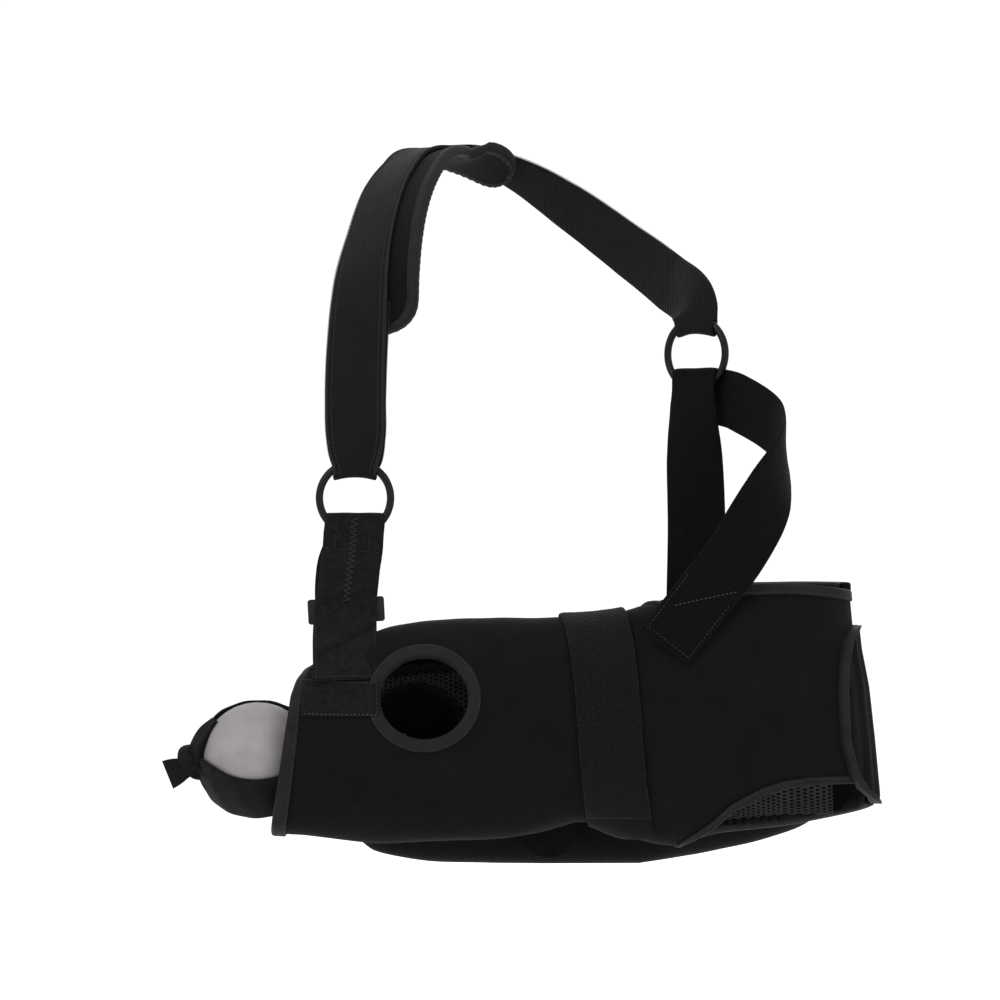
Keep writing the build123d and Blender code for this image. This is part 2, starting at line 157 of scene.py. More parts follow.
def base_material(name, colour, roughness, sheen=0.0, coat=0.0, specular=0.2):
    material = bpy.data.materials.new(name)
    material.use_nodes = True
    tree = material.node_tree
    shader = tree.nodes["Principled BSDF"]
    shader.inputs["Base Color"].default_value = (*colour, 1.0)
    shader.inputs["Roughness"].default_value = roughness
    shader.inputs["Sheen Weight"].default_value = sheen
    shader.inputs["Sheen Roughness"].default_value = 0.45
    shader.inputs["Coat Weight"].default_value = coat
    shader.inputs["Specular IOR Level"].default_value = specular
    return material, tree, shader


def tint(colour, share):
    return tuple(share * c for c in colour)


def vary_colour(tree, shader, texture_socket, dark, light, low=0.3, high=0.75):
    ramp = tree.nodes.new("ShaderNodeValToRGB")
    ramp.color_ramp.elements[0].position = low
    ramp.color_ramp.elements[1].position = high
    ramp.color_ramp.elements[0].color = (*dark, 1.0)
    ramp.color_ramp.elements[1].color = (*light, 1.0)
    tree.links.new(texture_socket, ramp.inputs["Fac"])
    tree.links.new(ramp.outputs["Color"], shader.inputs["Base Color"])


def mapped(tree, scale):
    coordinates = tree.nodes.new("ShaderNodeTexCoord")
    mapping = tree.nodes.new("ShaderNodeMapping")
    mapping.inputs["Scale"].default_value = scale
    tree.links.new(coordinates.outputs["Object"], mapping.inputs["Vector"])
    return mapping.outputs["Vector"]


def bump_from(tree, shader, sockets, strength, distance):
    """Bump from one texture or the sum of two."""
    height = sockets[0]
    if len(sockets) == 2:
        total = add_node(tree, "ShaderNodeMath", operation="ADD")
        tree.links.new(sockets[0], total.inputs[0])
        tree.links.new(sockets[1], total.inputs[1])
        height = total.outputs["Value"]
    bump = tree.nodes.new("ShaderNodeBump")
    bump.inputs["Strength"].default_value = strength
    bump.inputs["Distance"].default_value = distance
    tree.links.new(height, bump.inputs["Height"])
    tree.links.new(bump.outputs["Normal"], shader.inputs["Normal"])


def knit_material(name, colour, pitch=0.0012, sheen=0.03, wale_axis="X"):
    """Fine ribs in one direction with a fibrous break-up."""
    material, tree, shader = base_material(name, colour, 0.92, sheen=sheen, specular=0.06)
    vector = mapped(tree, (1.0, 1.0, 1.0))
    ribs = add_node(tree, "ShaderNodeTexWave", wave_type="BANDS", bands_direction=wale_axis)
    ribs.inputs["Scale"].default_value = 0.31 / pitch
    ribs.inputs["Distortion"].default_value = 1.6
    ribs.inputs["Detail"].default_value = 2.0
    ribs.inputs["Detail Scale"].default_value = 1.4
    fibres = add_node(tree, "ShaderNodeTexNoise")
    fibres.inputs["Scale"].default_value = 900.0
    fibres.inputs["Detail"].default_value = 3.0
    cloudy = add_node(tree, "ShaderNodeTexNoise")
    cloudy.inputs["Scale"].default_value = 55.0
    cloudy.inputs["Detail"].default_value = 6.0
    for texture in (ribs, fibres, cloudy):
        tree.links.new(vector, texture.inputs["Vector"])
    mixed = add_node(tree, "ShaderNodeMix", data_type="FLOAT")
    mixed.inputs["Factor"].default_value = 0.5
    tree.links.new(fibres.outputs["Fac"], mixed.inputs["A"])
    tree.links.new(cloudy.outputs["Fac"], mixed.inputs["B"])
    dark = tint(colour, 0.7)
    light = tint(colour, 1.5)
    vary_colour(tree, shader, mixed.outputs["Result"], dark, light)
    bump_from(tree, shader, [ribs.outputs["Fac"], fibres.outputs["Fac"]], 0.55, 0.0004)
    return material


def pile_material(name, colour):
    """Unbroken loop pile: a fuzzy, mottled nap."""
    material, tree, shader = base_material(name, colour, 0.95, sheen=0.04, specular=0.07)
    vector = mapped(tree, (1.0, 1.0, 1.0))
    loops = add_node(tree, "ShaderNodeTexVoronoi")
    loops.inputs["Scale"].default_value = 900.0
    nap = add_node(tree, "ShaderNodeTexNoise")
    nap.inputs["Scale"].default_value = 950.0
    nap.inputs["Detail"].default_value = 6.0
    nap.inputs["Distortion"].default_value = 0.3
    for texture in (loops, nap):
        tree.links.new(vector, texture.inputs["Vector"])
    dark = tint(colour, 0.55)
    light = tint(colour, 1.8)
    vary_colour(tree, shader, nap.outputs["Fac"], dark, light, 0.35, 0.7)
    bump_from(tree, shader, [loops.outputs["Distance"], nap.outputs["Fac"]], 0.9, 0.0007)
    return material


def webbing_material(name, colour, sheen=0.03):
    """Close plain weave: two crossed sets of fine yarns."""
    material, tree, shader = base_material(name, colour, 0.85, sheen=sheen, specular=0.07)
    vector = mapped(tree, (1.0, 1.0, 1.0))
    across = add_node(tree, "ShaderNodeTexWave", wave_type="BANDS", bands_direction="Z")
    across.inputs["Scale"].default_value = 300.0
    across.inputs["Distortion"].default_value = 0.8
    along = add_node(tree, "ShaderNodeTexWave", wave_type="BANDS", bands_direction="X")
    along.inputs["Scale"].default_value = 380.0
    along.inputs["Distortion"].default_value = 0.8
    fuzz = add_node(tree, "ShaderNodeTexNoise")
    fuzz.inputs["Scale"].default_value = 260.0
    fuzz.inputs["Detail"].default_value = 5.0
    for texture in (across, along, fuzz):
        tree.links.new(vector, texture.inputs["Vector"])
    dark = tint(colour, 0.7)
    light = tint(colour, 1.7)
    vary_colour(tree, shader, fuzz.outputs["Fac"], dark, light)
    bump_from(tree, shader, [across.outputs["Fac"], along.outputs["Fac"]], 0.45, 0.0003)
    return material


def tape_material(name, colour):
    """Folded binding tape: a tight rib with a soft sheen."""
    material, tree, shader = base_material(name, colour, 0.7, sheen=0.02, specular=0.1)
    vector = mapped(tree, (1.0, 1.0, 1.0))
    rib = add_node(tree, "ShaderNodeTexNoise")
    rib.inputs["Scale"].default_value = 1200.0
    rib.inputs["Detail"].default_value = 2.0
    tone = add_node(tree, "ShaderNodeTexNoise")
    tone.inputs["Scale"].default_value = 90.0
    tone.inputs["Detail"].default_value = 4.0
    for texture in (rib, tone):
        tree.links.new(vector, texture.inputs["Vector"])
    vary_colour(tree, shader, tone.outputs["Fac"], tint(colour, 0.75), tint(colour, 1.3))
    bump_from(tree, shader, [rib.outputs["Fac"]], 0.5, 0.0002)
    return material


def smooth_material(name, colour, roughness, grain, coat=0.0, specular=0.5):
    """Moulded or coated surfaces with a fine grain and uneven gloss."""
    material, tree, shader = base_material(name, colour, roughness, coat=coat, specular=specular)
    vector = mapped(tree, (1.0, 1.0, 1.0))
    fine = add_node(tree, "ShaderNodeTexNoise")
    fine.inputs["Scale"].default_value = grain
    fine.inputs["Detail"].default_value = 4.0
    wear = add_node(tree, "ShaderNodeTexNoise")
    wear.inputs["Scale"].default_value = 60.0
    wear.inputs["Detail"].default_value = 6.0
    for texture in (fine, wear):
        tree.links.new(vector, texture.inputs["Vector"])
    vary_colour(tree, shader, wear.outputs["Fac"], tint(colour, 0.85), tint(colour, 1.12))
    spread = add_node(tree, "ShaderNodeMapRange")
    spread.inputs["To Min"].default_value = roughness * 0.85
    spread.inputs["To Max"].default_value = min(roughness * 1.2, 1.0)
    tree.links.new(wear.outputs["Fac"], spread.inputs["Value"])
    tree.links.new(spread.outputs["Result"], shader.inputs["Roughness"])
    bump_from(tree, shader, [fine.outputs["Fac"]], 0.25, 0.0002)
    return material


def make_materials():
    return {
        "laminate": knit_material("laminate", (0.0029, 0.0028, 0.0036), sheen=0.015),
        "spacer_mesh": tape_material("spacer_mesh", (0.0341, 0.0329, 0.0372)),
        "mesh_base": knit_material("mesh_base", (0.002, 0.002, 0.0026)),
        "binding": tape_material("binding", (0.0060, 0.0055, 0.0062)),
        "webbing": webbing_material("webbing", (0.0036, 0.0033, 0.0041), sheen=0.02),
        "dark_webbing": webbing_material("dark_webbing", (0.0009, 0.0009, 0.0011), sheen=0.01),
        "pile_band": pile_material("pile_band", (0.0032, 0.0031, 0.0037)),
        "hook_tape": webbing_material("hook_tape", (0.0022, 0.0022, 0.0027), sheen=0.01),
        "strap_fleece": knit_material("strap_fleece", (0.0042, 0.0041, 0.0050),
                pitch=0.0016, sheen=0.05),
        "pad_fabric": knit_material("pad_fabric", (0.0024, 0.0024, 0.0029), pitch=0.0014),
        "pillow_fabric": knit_material("pillow_fabric", (0.0029, 0.0028, 0.0035)),
        "thread": smooth_material("thread", (0.0112, 0.0109, 0.0120), 0.7, 2400.0, specular=0.2),
        "worn_thread": smooth_material("worn_thread", (0.0234, 0.0225, 0.0243),
                0.7, 2400.0, specular=0.2),
        "ring_metal": smooth_material("ring_metal", (0.0028, 0.0028, 0.0030),
                0.40, 900.0, coat=0.02, specular=0.12),
        "buckle_plastic": smooth_material("buckle_plastic", (0.0037, 0.0036, 0.0040),
                0.45, 1500.0, specular=0.18),
        "ball_foam": smooth_material("ball_foam", (0.176, 0.163, 0.172), 0.62, 700.0, specular=0.3),
    }


# ---------------------------------------------------------------- meshes
def add_mesh(name, verts, faces, material, body, smooth=True):
    mesh = bpy.data.meshes.new(name)
    mesh.from_pydata([tuple(v) for v in row(verts)], [], faces)
    mesh.materials.append(MATERIALS[material])
    for polygon in mesh.polygons:
        polygon.use_smooth = smooth
    piece = bpy.data.objects.new(name, mesh)
    bpy.context.scene.collection.objects.link(piece)
    if body:
        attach(piece, body)
    return piece


def grid_faces(rows, columns, start=0, flip=False, closed=False):
    faces = []
    last = columns if closed else columns - 1
    for i in range(rows - 1):
        for j in range(last):
            k = (j + 1) % columns
            quad = (start + i * columns + j, start + i * columns + k,
                    start + (i + 1) * columns + k, start + (i + 1) * columns + j)
            faces.append(quad[::-1] if flip else quad)
    return faces


def shell(outer, inner):
    """Vertices and faces of a closed skin between two grids of points."""
    rows, columns = outer.shape[:2]
    count = rows * columns
    verts = np.concatenate([outer.reshape(-1, 3), inner.reshape(-1, 3)])
    faces = grid_faces(rows, columns) + grid_faces(rows, columns, count, flip=True)
    rim = [i * columns for i in range(rows)]
    rim += [(rows - 1) * columns + j for j in range(1, columns)]
    rim += [i * columns + columns - 1 for i in range(rows - 2, -1, -1)]
    rim += [j for j in range(columns - 2, 0, -1)]
    for a, b in zip(rim, rim[1:] + rim[:1]):
        faces.append((a, b, b + count, a + count))
    return verts, faces


def tube(sections):
    """Vertices and faces of a closed solid through rings of points, with flat ends."""
    rows, columns = sections.shape[:2]
    verts = sections.reshape(-1, 3)
    faces = grid_faces(rows, columns, closed=True)
    faces.append(tuple(range(columns))[::-1])
    faces.append(tuple((rows - 1) * columns + j for j in range(columns)))
    return verts, faces


def normalise(vectors):
    return vectors / np.maximum(np.linalg.norm(vectors, axis=-1, keepdims=True), 1e-9)


def smooth_through(stops, spacing):
    """A smooth line through rows of numbers whose first three are a place."""
    stops = np.asarray(stops, float)
    lengths = np.linalg.norm(np.diff(stops[:, :3], axis=0), axis=1)
    slopes = np.diff(stops, axis=0) / lengths[:, None]
    tangents = np.vstack([slopes[:1], slopes[:1].repeat(len(stops) - 2, 0), slopes[-1:]])
    for index in range(1, len(stops) - 1):
        before, after = lengths[index - 1], lengths[index]
        tangents[index] = (slopes[index - 1] * after + slopes[index] * before) / (before + after)
    found = []
    for index, length in enumerate(lengths):
        count = max(4, int(math.ceil(length / spacing)))
        for t in np.arange(count) / count:
            found.append((2 * t ** 3 - 3 * t ** 2 + 1) * stops[index]
                         + (t ** 3 - 2 * t ** 2 + t) * length * tangents[index]
                         + (3 * t ** 2 - 2 * t ** 3) * stops[index + 1]
                         + (t ** 3 - t ** 2) * length * tangents[index + 1])
    found.append(stops[-1])
    return np.array(found)


def fix_normals(piece, weld=False):
    """Turns every face outwards, after joining doubled points if asked."""
    shape = bmesh.new()
    shape.from_mesh(piece.data)
    if weld:
        bmesh.ops.remove_doubles(shape, verts=shape.verts, dist=1e-6)
    bmesh.ops.recalc_face_normals(shape, faces=shape.faces)
    shape.to_mesh(piece.data)
    shape.free()


# ---------------------------------------------------------------- the pouch's surface
POUCH_STATIONS = np.array([
    # X, half depth, lowest Z, highest Z
    (-40.0, 40.0, 8.0, 80.0),
    (0.0, 40.0, 5.0, 105.0),
    (25.0, 40.0, 3.0, 120.0),
    (50.0, 40.0, 0.0, 135.0),
    (72.0, 41.0, -1.0, 146.0),
    (103.0, 42.0, 0.0, 150.0),
    (150.0, 42.0, 1.5, 152.0),
    (180.0, 42.0, 6.0, 152.5),
    (200.0, 41.0, 13.0, 153.0),
    (208.0, 41.0, 15.0, 153.5),
    (222.0, 41.5, 8.0, 154.5),
    (240.0, 43.0, 3.0, 157.5),
    (262.0, 44.0, -2.0, 165.0),
    (286.0, 44.5, -4.0, 186.0),
    (312.0, 44.5, -4.0, 204.0),
    (345.0, 44.0, -2.0, 208.0),
    (400.0, 44.0, 2.0, 206.0),
])
# Edges of the panels as (X, Z), and how far the elbow end leans out as (Z, amount).
TOP_EDGE = np.array([(240.0, 157.0), (256.0, 161.5), (285.0, 168.0), (316.0, 174.5),
                     (350.0, 175.0), (384.0, 171.0), (420.0, 168.0)])
CUT_OUT = np.array([(268.0, -4.0), (280.0, 2.0), (294.0, 11.0), (307.0, 23.0),
                    (328.0, 34.0), (352.0, 41.5), (378.0, 43.0), (420.0, 40.0)])
INNER_LOW = np.array([(250.0, -3.0), (280.0, 0.0), (300.0, 5.0),
                      (330.0, 8.0), (380.0, 13.0), (420.0, 16.0)])
ELBOW_LEAN = np.array([(10.0, 18.0), (32.0, 19.0), (69.0, 15.5), (105.0, 11.5),
                       (130.0, 6.6), (150.0, 4.4), (175.0, 2.0)])
ELBOW_ARC = ELBOW_REACH * math.pi / 2
FRONT_LENGTH = ELBOW_START + ELBOW_ARC


def station(x, column):
    """A station value at X, smoothed over a short stretch."""
    spread = np.linspace(-9.0, 9.0, 7)
    table = POUCH_STATIONS
    return np.mean([np.interp(x + d, table[:, 0], table[:, column]) for d in spread], axis=0)


def signed_power(value, power):
    return np.sign(value) * np.abs(value) ** power


def height_angle(x, z):
    """The section angle at which the pouch's skin reaches a height."""
    low, high = station(x, 2), station(x, 3)
    share = np.clip((z - (low + high) / 2) / ((high - low) / 2), -1, 1)
    return np.arcsin(signed_power(share, SECTION_POWER / 2))


def skin(run, angle, offset=0.0):
    """Points of the pouch's skin. run goes along the outer face, round the elbow and back."""
    run = np.asarray(run, float)
    angle = np.asarray(angle, float)

    def raw(run, angle):
        turn = np.clip((run - ELBOW_START) / ELBOW_REACH, 0, math.pi)
        beyond = np.maximum(run - ELBOW_START - math.pi * ELBOW_REACH, 0)
        x = np.minimum(run, ELBOW_START) - beyond
        half_depth = station(x, 1)
        low, high = station(x + 20 * np.sin(turn), 2), station(x + 20 * np.sin(turn), 3)
        z = (low + high) / 2 + (high - low) / 2 * signed_power(np.sin(angle), 2 / SECTION_POWER)
        lean = np.interp(z, ELBOW_LEAN[:, 0], ELBOW_LEAN[:, 1])
        x = x + (ELBOW_REACH + lean) * np.sin(turn)
        y = MIDDLE - half_depth * np.cos(turn) * signed_power(np.cos(angle), 2 / SECTION_POWER)
        return np.stack(np.broadcast_arrays(x, y, z), axis=-1)

    here = raw(run, angle)
    step_run, step_angle = 0.4, 0.004
    along = raw(run + step_run, angle) - raw(run - step_run, angle)
    up = raw(run, angle + step_angle) - raw(run, angle - step_angle)
    normal = normalise(np.cross(along, up))
    return here + normal * np.asarray(offset)[..., None]


HAND_EDGE = np.array([(0.0, -4.4), (5.0, -3.8), (36.0, 1.4), (67.0, 5.6), (100.0, 10.0), (110.0, 13.5),
                      (118.0, 20.0), (124.0, 29.0), (130.0, 38.0), (136.0, 46.0)])


def slanted(run, angle):
    """Moves a run near the hand end along the slanted, round-cornered edge there."""
    moved = run
    fade = np.clip(1 - run / 90.0, 0, 1) ** 1.5
    for _ in range(4):
        low, high = station(moved, 2), station(moved, 3)
        z = (low + high) / 2 + (high - low) / 2 * signed_power(np.sin(angle), 2 / SECTION_POWER)
        moved = run + np.interp(z, HAND_EDGE[:, 0], HAND_EDGE[:, 1]) * fade
    return moved


def wrinkle(run, angle, strength=1.0):
    """Soft unevenness of fabric over an arm, in millimetres."""
    bumps = np.zeros(np.broadcast(run, angle).shape)
    run, angle = np.broadcast_arrays(run, angle)
    for index in np.ndindex(bumps.shape):
        place = Vector((run[index] / 60.0, angle[index] * 0.9, 3.7))
        fine = Vector((run[index] / 19.0, angle[index] * 2.2, 9.1))
        bumps[index] = noise.noise(place) * 1.5 + noise.noise(fine) * 0.35
    return bumps * strength


def blend_step(value, start, end):
    t = np.clip((value - start) / (end - start), 0, 1)
    return t * t * (3 - 2 * t)


# The body side's wrinkles are read this far along, so that they differ from the front's.
BACK_SHIFT = 500
WRAP_ANGLE = math.radians(152.0)
SEAM_ANGLE = math.radians(-98.0)


def outer_top(run):
    """The section angle of the outer panel's upper edge."""
    edge = height_angle(run, np.interp(run, TOP_EDGE[:, 0], TOP_EDGE[:, 1]))
    return WRAP_ANGLE + (edge - WRAP_ANGLE) * blend_step(run, 228.0, 262.0)


def outer_low(run):
    """The section angle of the outer panel's lower edge."""
    x = np.where(run > ELBOW_START, ELBOW_START + (run - ELBOW_START) * 0.75, run)
    edge = height_angle(run, np.interp(x, CUT_OUT[:, 0], CUT_OUT[:, 1]))
    return SEAM_ANGLE + (edge - SEAM_ANGLE) * blend_step(run, 256.0, 276.0)


def panel_grid(run_values, low, high, columns, offset):
    """The outer face's grid between two edges, with its runs, angles and wrinkles."""
    run = run_values[:, None]
    share = np.linspace(0, 1, columns)[None, :]
    low_angle = low(run_values)[:, None]
    high_angle = high(run_values)[:, None]
    angle = low_angle + (high_angle - low_angle) * share
    moved = slanted(np.broadcast_to(run, angle.shape), angle)
    bumps = wrinkle(moved, angle)
    return skin(moved, angle, offset + bumps), moved, angle, bumps


def cut_hole(piece, centre, low_y, high_y, grow):
    """Cuts an elliptical hole through a panel along Y."""
    count = 72
    verts = []
    for y in (low_y, high_y):
        for step in range(count):
            a = 2 * math.pi * step / count
            verts.append((centre[0] + (HOLE_RADII[0] + grow) * math.cos(a), y,
                          centre[1] + (HOLE_RADII[1] + grow) * math.sin(a)))
    faces = [(i, (i + 1) % count, count + (i + 1) % count, count + i) for i in range(count)]
    faces += [tuple(range(count))[::-1], tuple(range(count, 2 * count))]
    cutter_mesh = bpy.data.meshes.new("cutter")
    cutter_mesh.from_pydata([tuple(v) for v in row(verts)], [], faces)
    cutter = bpy.data.objects.new("cutter", cutter_mesh)
    bpy.context.scene.collection.objects.link(cutter)
    fix_normals(cutter)
    modifier = piece.modifiers.new("hole", "BOOLEAN")
    modifier.operation = "DIFFERENCE"
    modifier.solver = "EXACT"
    modifier.object = cutter
    bpy.context.view_layer.objects.active = piece
    bpy.ops.object.modifier_apply(modifier="hole")
    bpy.data.objects.remove(cutter)


def make_outer_panel():
    runs = np.concatenate([np.linspace(0, 222, 68), np.linspace(224, 282, 30),
                           np.linspace(285, FRONT_LENGTH, 34)])
    outer, moved, angle, bumps = panel_grid(runs, outer_low, outer_top, 64, 0.0)
    inner = skin(moved, angle, -FABRIC + bumps)
    verts, faces = shell(outer, inner)
    piece = add_mesh("outer_panel_cloth", verts, faces, "laminate", "sling")
    fix_normals(piece)
    cut_hole(piece, HAND_HOLE, -40.0, MIDDLE - 5, 0.6)
    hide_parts("outer_panel")


def back_run(x):
    """The run on the body side that is at X."""
    return ELBOW_START + math.pi * ELBOW_REACH + (ELBOW_START - x)


def inner_top(x):
    # on the body side the angle is measured the same way, so the top edge mirrors the front's
    edge = height_angle(x, np.interp(x, TOP_EDGE[:, 0], TOP_EDGE[:, 1]))
    return (math.pi - WRAP_ANGLE) + (edge - (math.pi - WRAP_ANGLE)) * blend_step(x, 228.0, 262.0)


def inner_low(x):
    seam = -math.pi - SEAM_ANGLE
    edge = height_angle(x, np.interp(x, INNER_LOW[:, 0], INNER_LOW[:, 1]))
    return seam + (edge - seam) * blend_step(x, 262.0, 284.0)


def inner_grid(columns, offset):
    """The body side's grid: straight back run, then round the elbow's tip."""
    xs = np.concatenate([np.linspace(0, 222, 58), np.linspace(225, ELBOW_START, 40)])
    share = np.linspace(0, 1, columns)[None, :]
    low_angle, high_angle = inner_low(xs)[:, None], inner_top(xs)[:, None]
    angle = low_angle + (high_angle - low_angle) * share
    moved = slanted(np.broadcast_to(xs[:, None], angle.shape), angle)
    run = back_run(moved)
    turn = np.linspace(0, 1, 14)[1:]
    tip_runs = FRONT_LENGTH + ELBOW_ARC * (1 - turn)
    tip_low = height_angle(np.full(len(turn), ELBOW_START), 9.0 + 16.0 * turn)[:, None]
    tip_angle = tip_low + (high_angle[-1] - tip_low) * share
    tip_run = np.broadcast_to(tip_runs[:, None], tip_angle.shape)
    run = np.vstack([run, tip_run])
    angle = np.vstack([angle, tip_angle])
    bumps = wrinkle(run + BACK_SHIFT, angle)
    return skin(run, angle, offset + bumps), run, angle, bumps


def make_inner_panel():
    outer, run, angle, bumps = inner_grid(56, 0.0)
    inner = skin(run, angle, -FABRIC + bumps)
    verts, faces = shell(outer, inner)
    piece = add_mesh("inner_panel_cloth", verts, faces, "laminate", "sling")
    fix_normals(piece)
    cut_hole(piece, BODY_HOLE, MIDDLE + 8, 130.0, 0.6)
    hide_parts("inner_panel")


# ---------------------------------------------------------------- edge tape and stitches
TAPE_PROFILE = [(TAPE_WIDTH, 0.05), (8.3, 1.0), (7.4, 1.3), (4.0, 1.45), (0.6, 1.5), (-0.9, 0.9),
                (-1.5, -0.6), (-1.6, -2.2), (-1.5, -4.2), (-0.9, -5.6), (0.6, -6.2), (4.0, -6.1),
                (7.4, -6.0), (8.3, -5.7), (TAPE_WIDTH, -4.8), (4.0, -4.6), (0.2, -4.5), (0.1, -0.1),
                (4.0, 0.0)]


def tape_along(edge, normals, inward, width, closed=False):
    """Binding tape folded over an edge, as a closed ring of profile points along it."""
    scale = width / TAPE_WIDTH
    sections = []
    for index in range(len(edge)):
        swell = 1 + TAPE_PUCKER * math.sin(index * 2.1) * 0.5
        ring = []
        for u, v in TAPE_PROFILE:
            rise = normals[index] * v * (swell if abs(v) > 1 else 1)
            ring.append(edge[index] + inward[index] * u * scale + rise)
        sections.append(ring)
    sections = np.array(sections)
    if closed:
        sections = np.concatenate([sections, sections[:1]])
        rows, columns = sections.shape[:2]
        verts = sections[:-1].reshape(-1, 3)
        faces = []
        for i in range(rows - 1):
            n = (i + 1) % (rows - 1)
            for j in range(columns):
                k = (j + 1) % columns
                faces.append((i * columns + j, i * columns + k, n * columns + k, n * columns + j))
        return verts, faces
    return tube(sections)


def resample(points, spacing):
    """Points at even distances along a line."""
    points = np.asarray(points, float)
    steps = np.linalg.norm(np.diff(points, axis=0), axis=1)
    distance = np.concatenate([[0], np.cumsum(steps)])
    count = max(int(distance[-1] / spacing), 2)
    wanted = np.linspace(0, distance[-1], count)
    return np.stack([np.interp(wanted, distance, points[:, k]) for k in range(points.shape[1])], axis=1)


def dashes(points, normals, spacing=3.0):
    """Places, directions and outward normals of stitches sewn along a line."""
    both = resample(np.hstack([points, normals]), spacing)
    middles = (both[:-1] + both[1:]) / 2
    return middles[:, :3], normalise(np.diff(both[:, :3], axis=0)), normalise(middles[:, 3:])


def stitch_mesh(groups, length=2.1, radius=0.36):
    """Raised thread stitches at groups of (places, directions, normals)."""
    verts, faces = [], []
    ring = 6
    profile = [(-0.5, 0.25), (-0.38, 0.8), (0.0, 1.0), (0.38, 0.8), (0.5, 0.25)]
    for places, directions, normals in groups:
        for centre, along, out in zip(places, directions, normals):
            side = np.cross(along, out)
            start = len(verts)
            for share, size in profile:
                for step in range(ring):
                    angle = 2 * math.pi * step / ring
                    verts.append(centre + along * share * length
                                 + out * (0.1 + math.sin(angle) * radius * size)
                                 + side * math.cos(angle) * radius * size)
            faces += grid_faces(len(profile), ring, start, closed=True)
            faces.append(tuple(start + k for k in range(ring))[::-1])
            faces.append(tuple(start + (len(profile) - 1) * ring + k for k in range(ring)))
    return np.array(verts), faces


def sew(name, lines, body, spacing=3.0, length=2.1, radius=0.36, thread="thread"):
    """Stitch lines as one piece; each line is (points, normals)."""
    groups = [dashes(points, normals, spacing) for points, normals in lines]
    verts, faces = stitch_mesh(groups, length, radius)
    return add_mesh(name, verts, faces, thread, body)


def edge_frame(run, angle, inner_run, inner_angle):
    """An edge on the pouch's skin, with its normals and the direction into the fabric."""
    edge = skin(run, angle, 0.0)
    lifted = skin(run, angle, 1.0)
    normals = normalise(lifted - edge)
    inside = skin(inner_run, inner_angle, 0.0)
    inward = inside - edge
    inward = inward - np.sum(inward * normals, axis=-1, keepdims=True) * normals
    return edge, normals, normalise(inward)


def bound_edge(name, node, run, angle, inner_run, inner_angle, width=TAPE_WIDTH):
    """A piece of binding tape along a skin edge, and its stitch line."""
    edge, normals, inward = edge_frame(run, angle, inner_run, inner_angle)
    verts, faces = tape_along(edge, normals, inward, width)
    piece = add_mesh(name, verts, faces, "binding", "sling")
    fix_normals(piece)
    if node:
        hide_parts(node)
    line = edge + inward * (width - 1.3) + normals * 1.25
    sew(name + "_stitches", [(line, normals)], "sling")


def make_pouch_bindings():
    angle = np.linspace(SEAM_ANGLE, WRAP_ANGLE, 90)
    run = slanted(np.zeros_like(angle), angle)
    bound_edge("hand_end_tape_front", "hand_end_binding", run, angle, run + 6, angle)
    back_angle = np.linspace(-math.pi - SEAM_ANGLE, math.pi - WRAP_ANGLE, 70)
    x = slanted(np.zeros_like(back_angle), back_angle)
    bound_edge("hand_end_tape_back", None, back_run(x), back_angle, back_run(x + 6), back_angle)

    runs = np.concatenate([np.linspace(6, 222, 50), np.linspace(224, FRONT_LENGTH, 90)])
    angle = outer_top(runs)
    run = slanted(runs, angle)
    bound_edge("top_edge_tape_front", "outer_top_binding", run, angle, run, angle - 0.1, width=6.6)
    xs = np.linspace(228, ELBOW_START, 56)
    back = np.concatenate([back_run(xs), FRONT_LENGTH + ELBOW_ARC * (1 - np.linspace(0, 1, 12)[1:])])
    angle = np.concatenate([inner_top(xs), np.full(11, inner_top(xs)[-1])])
    bound_edge("top_edge_tape_back", "inner_top_binding", back, angle, back, angle - 0.1, width=6.6)

    runs = np.linspace(270, FRONT_LENGTH - 8, 60)
    angle = outer_low(runs)
    bound_edge("cut_out_tape", "elbow_cut_out_binding", runs, angle, runs - 2, angle + 0.1, width=5.2)
    xs = np.linspace(276, ELBOW_START, 34)
    back = np.concatenate([back_run(xs), FRONT_LENGTH + ELBOW_ARC * (1 - np.linspace(0, 1, 12)[1:])])
    tip = np.linspace(0, 1, 12)[1:]
    angle = np.concatenate([inner_low(xs), height_angle(np.full(11, ELBOW_START), 9.0 + 16.0 * tip)])
    bound_edge("body_side_low_tape", None, back, angle, back, angle + 0.1, width=6.6)


def hole_tape(name, node, centre, front):
    """The round binding of a hole through one of the panels."""
    count = 96
    steps = np.linspace(0, 2 * math.pi, count, endpoint=False)
    x = centre[0] + HOLE_RADII[0] * np.cos(steps)
    z = centre[1] + HOLE_RADII[1] * np.sin(steps)
    wide_x = centre[0] + (HOLE_RADII[0] + 8) * np.cos(steps)
    wide_z = centre[1] + (HOLE_RADII[1] + 8) * np.sin(steps)

    def at(x, z):
        angle = height_angle(x, z)
        run = x if front else back_run(x)
        bumps = wrinkle(run if front else run + BACK_SHIFT, angle)
        return skin(run, angle, bumps), skin(run, angle, bumps + 1.0)

    edge, lifted = at(x, z)
    wide, _ = at(wide_x, wide_z)
    normals = normalise(lifted - edge)
    inward = wide - edge
    inward = normalise(inward - np.sum(inward * normals, axis=-1, keepdims=True) * normals)
    verts, faces = tape_along(edge, normals, inward, 7.4, closed=True)
    piece = add_mesh(name, verts, faces, "binding", "sling")
    fix_normals(piece)
    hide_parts(node)
    line = edge + inward * 6.1 + normals * 1.3
    line = np.vstack([line, line[:1]])
    normals = np.vstack([normals, normals[:1]])
    sew(name + "_stitches", [(line, normals)], "sling")


# ---------------------------------------------------------------- spacer mesh lining
NET_PITCH = 4.0
NET_SPAN = 175.0
NET_DEPTH = 0.8
NET_START = 7.0


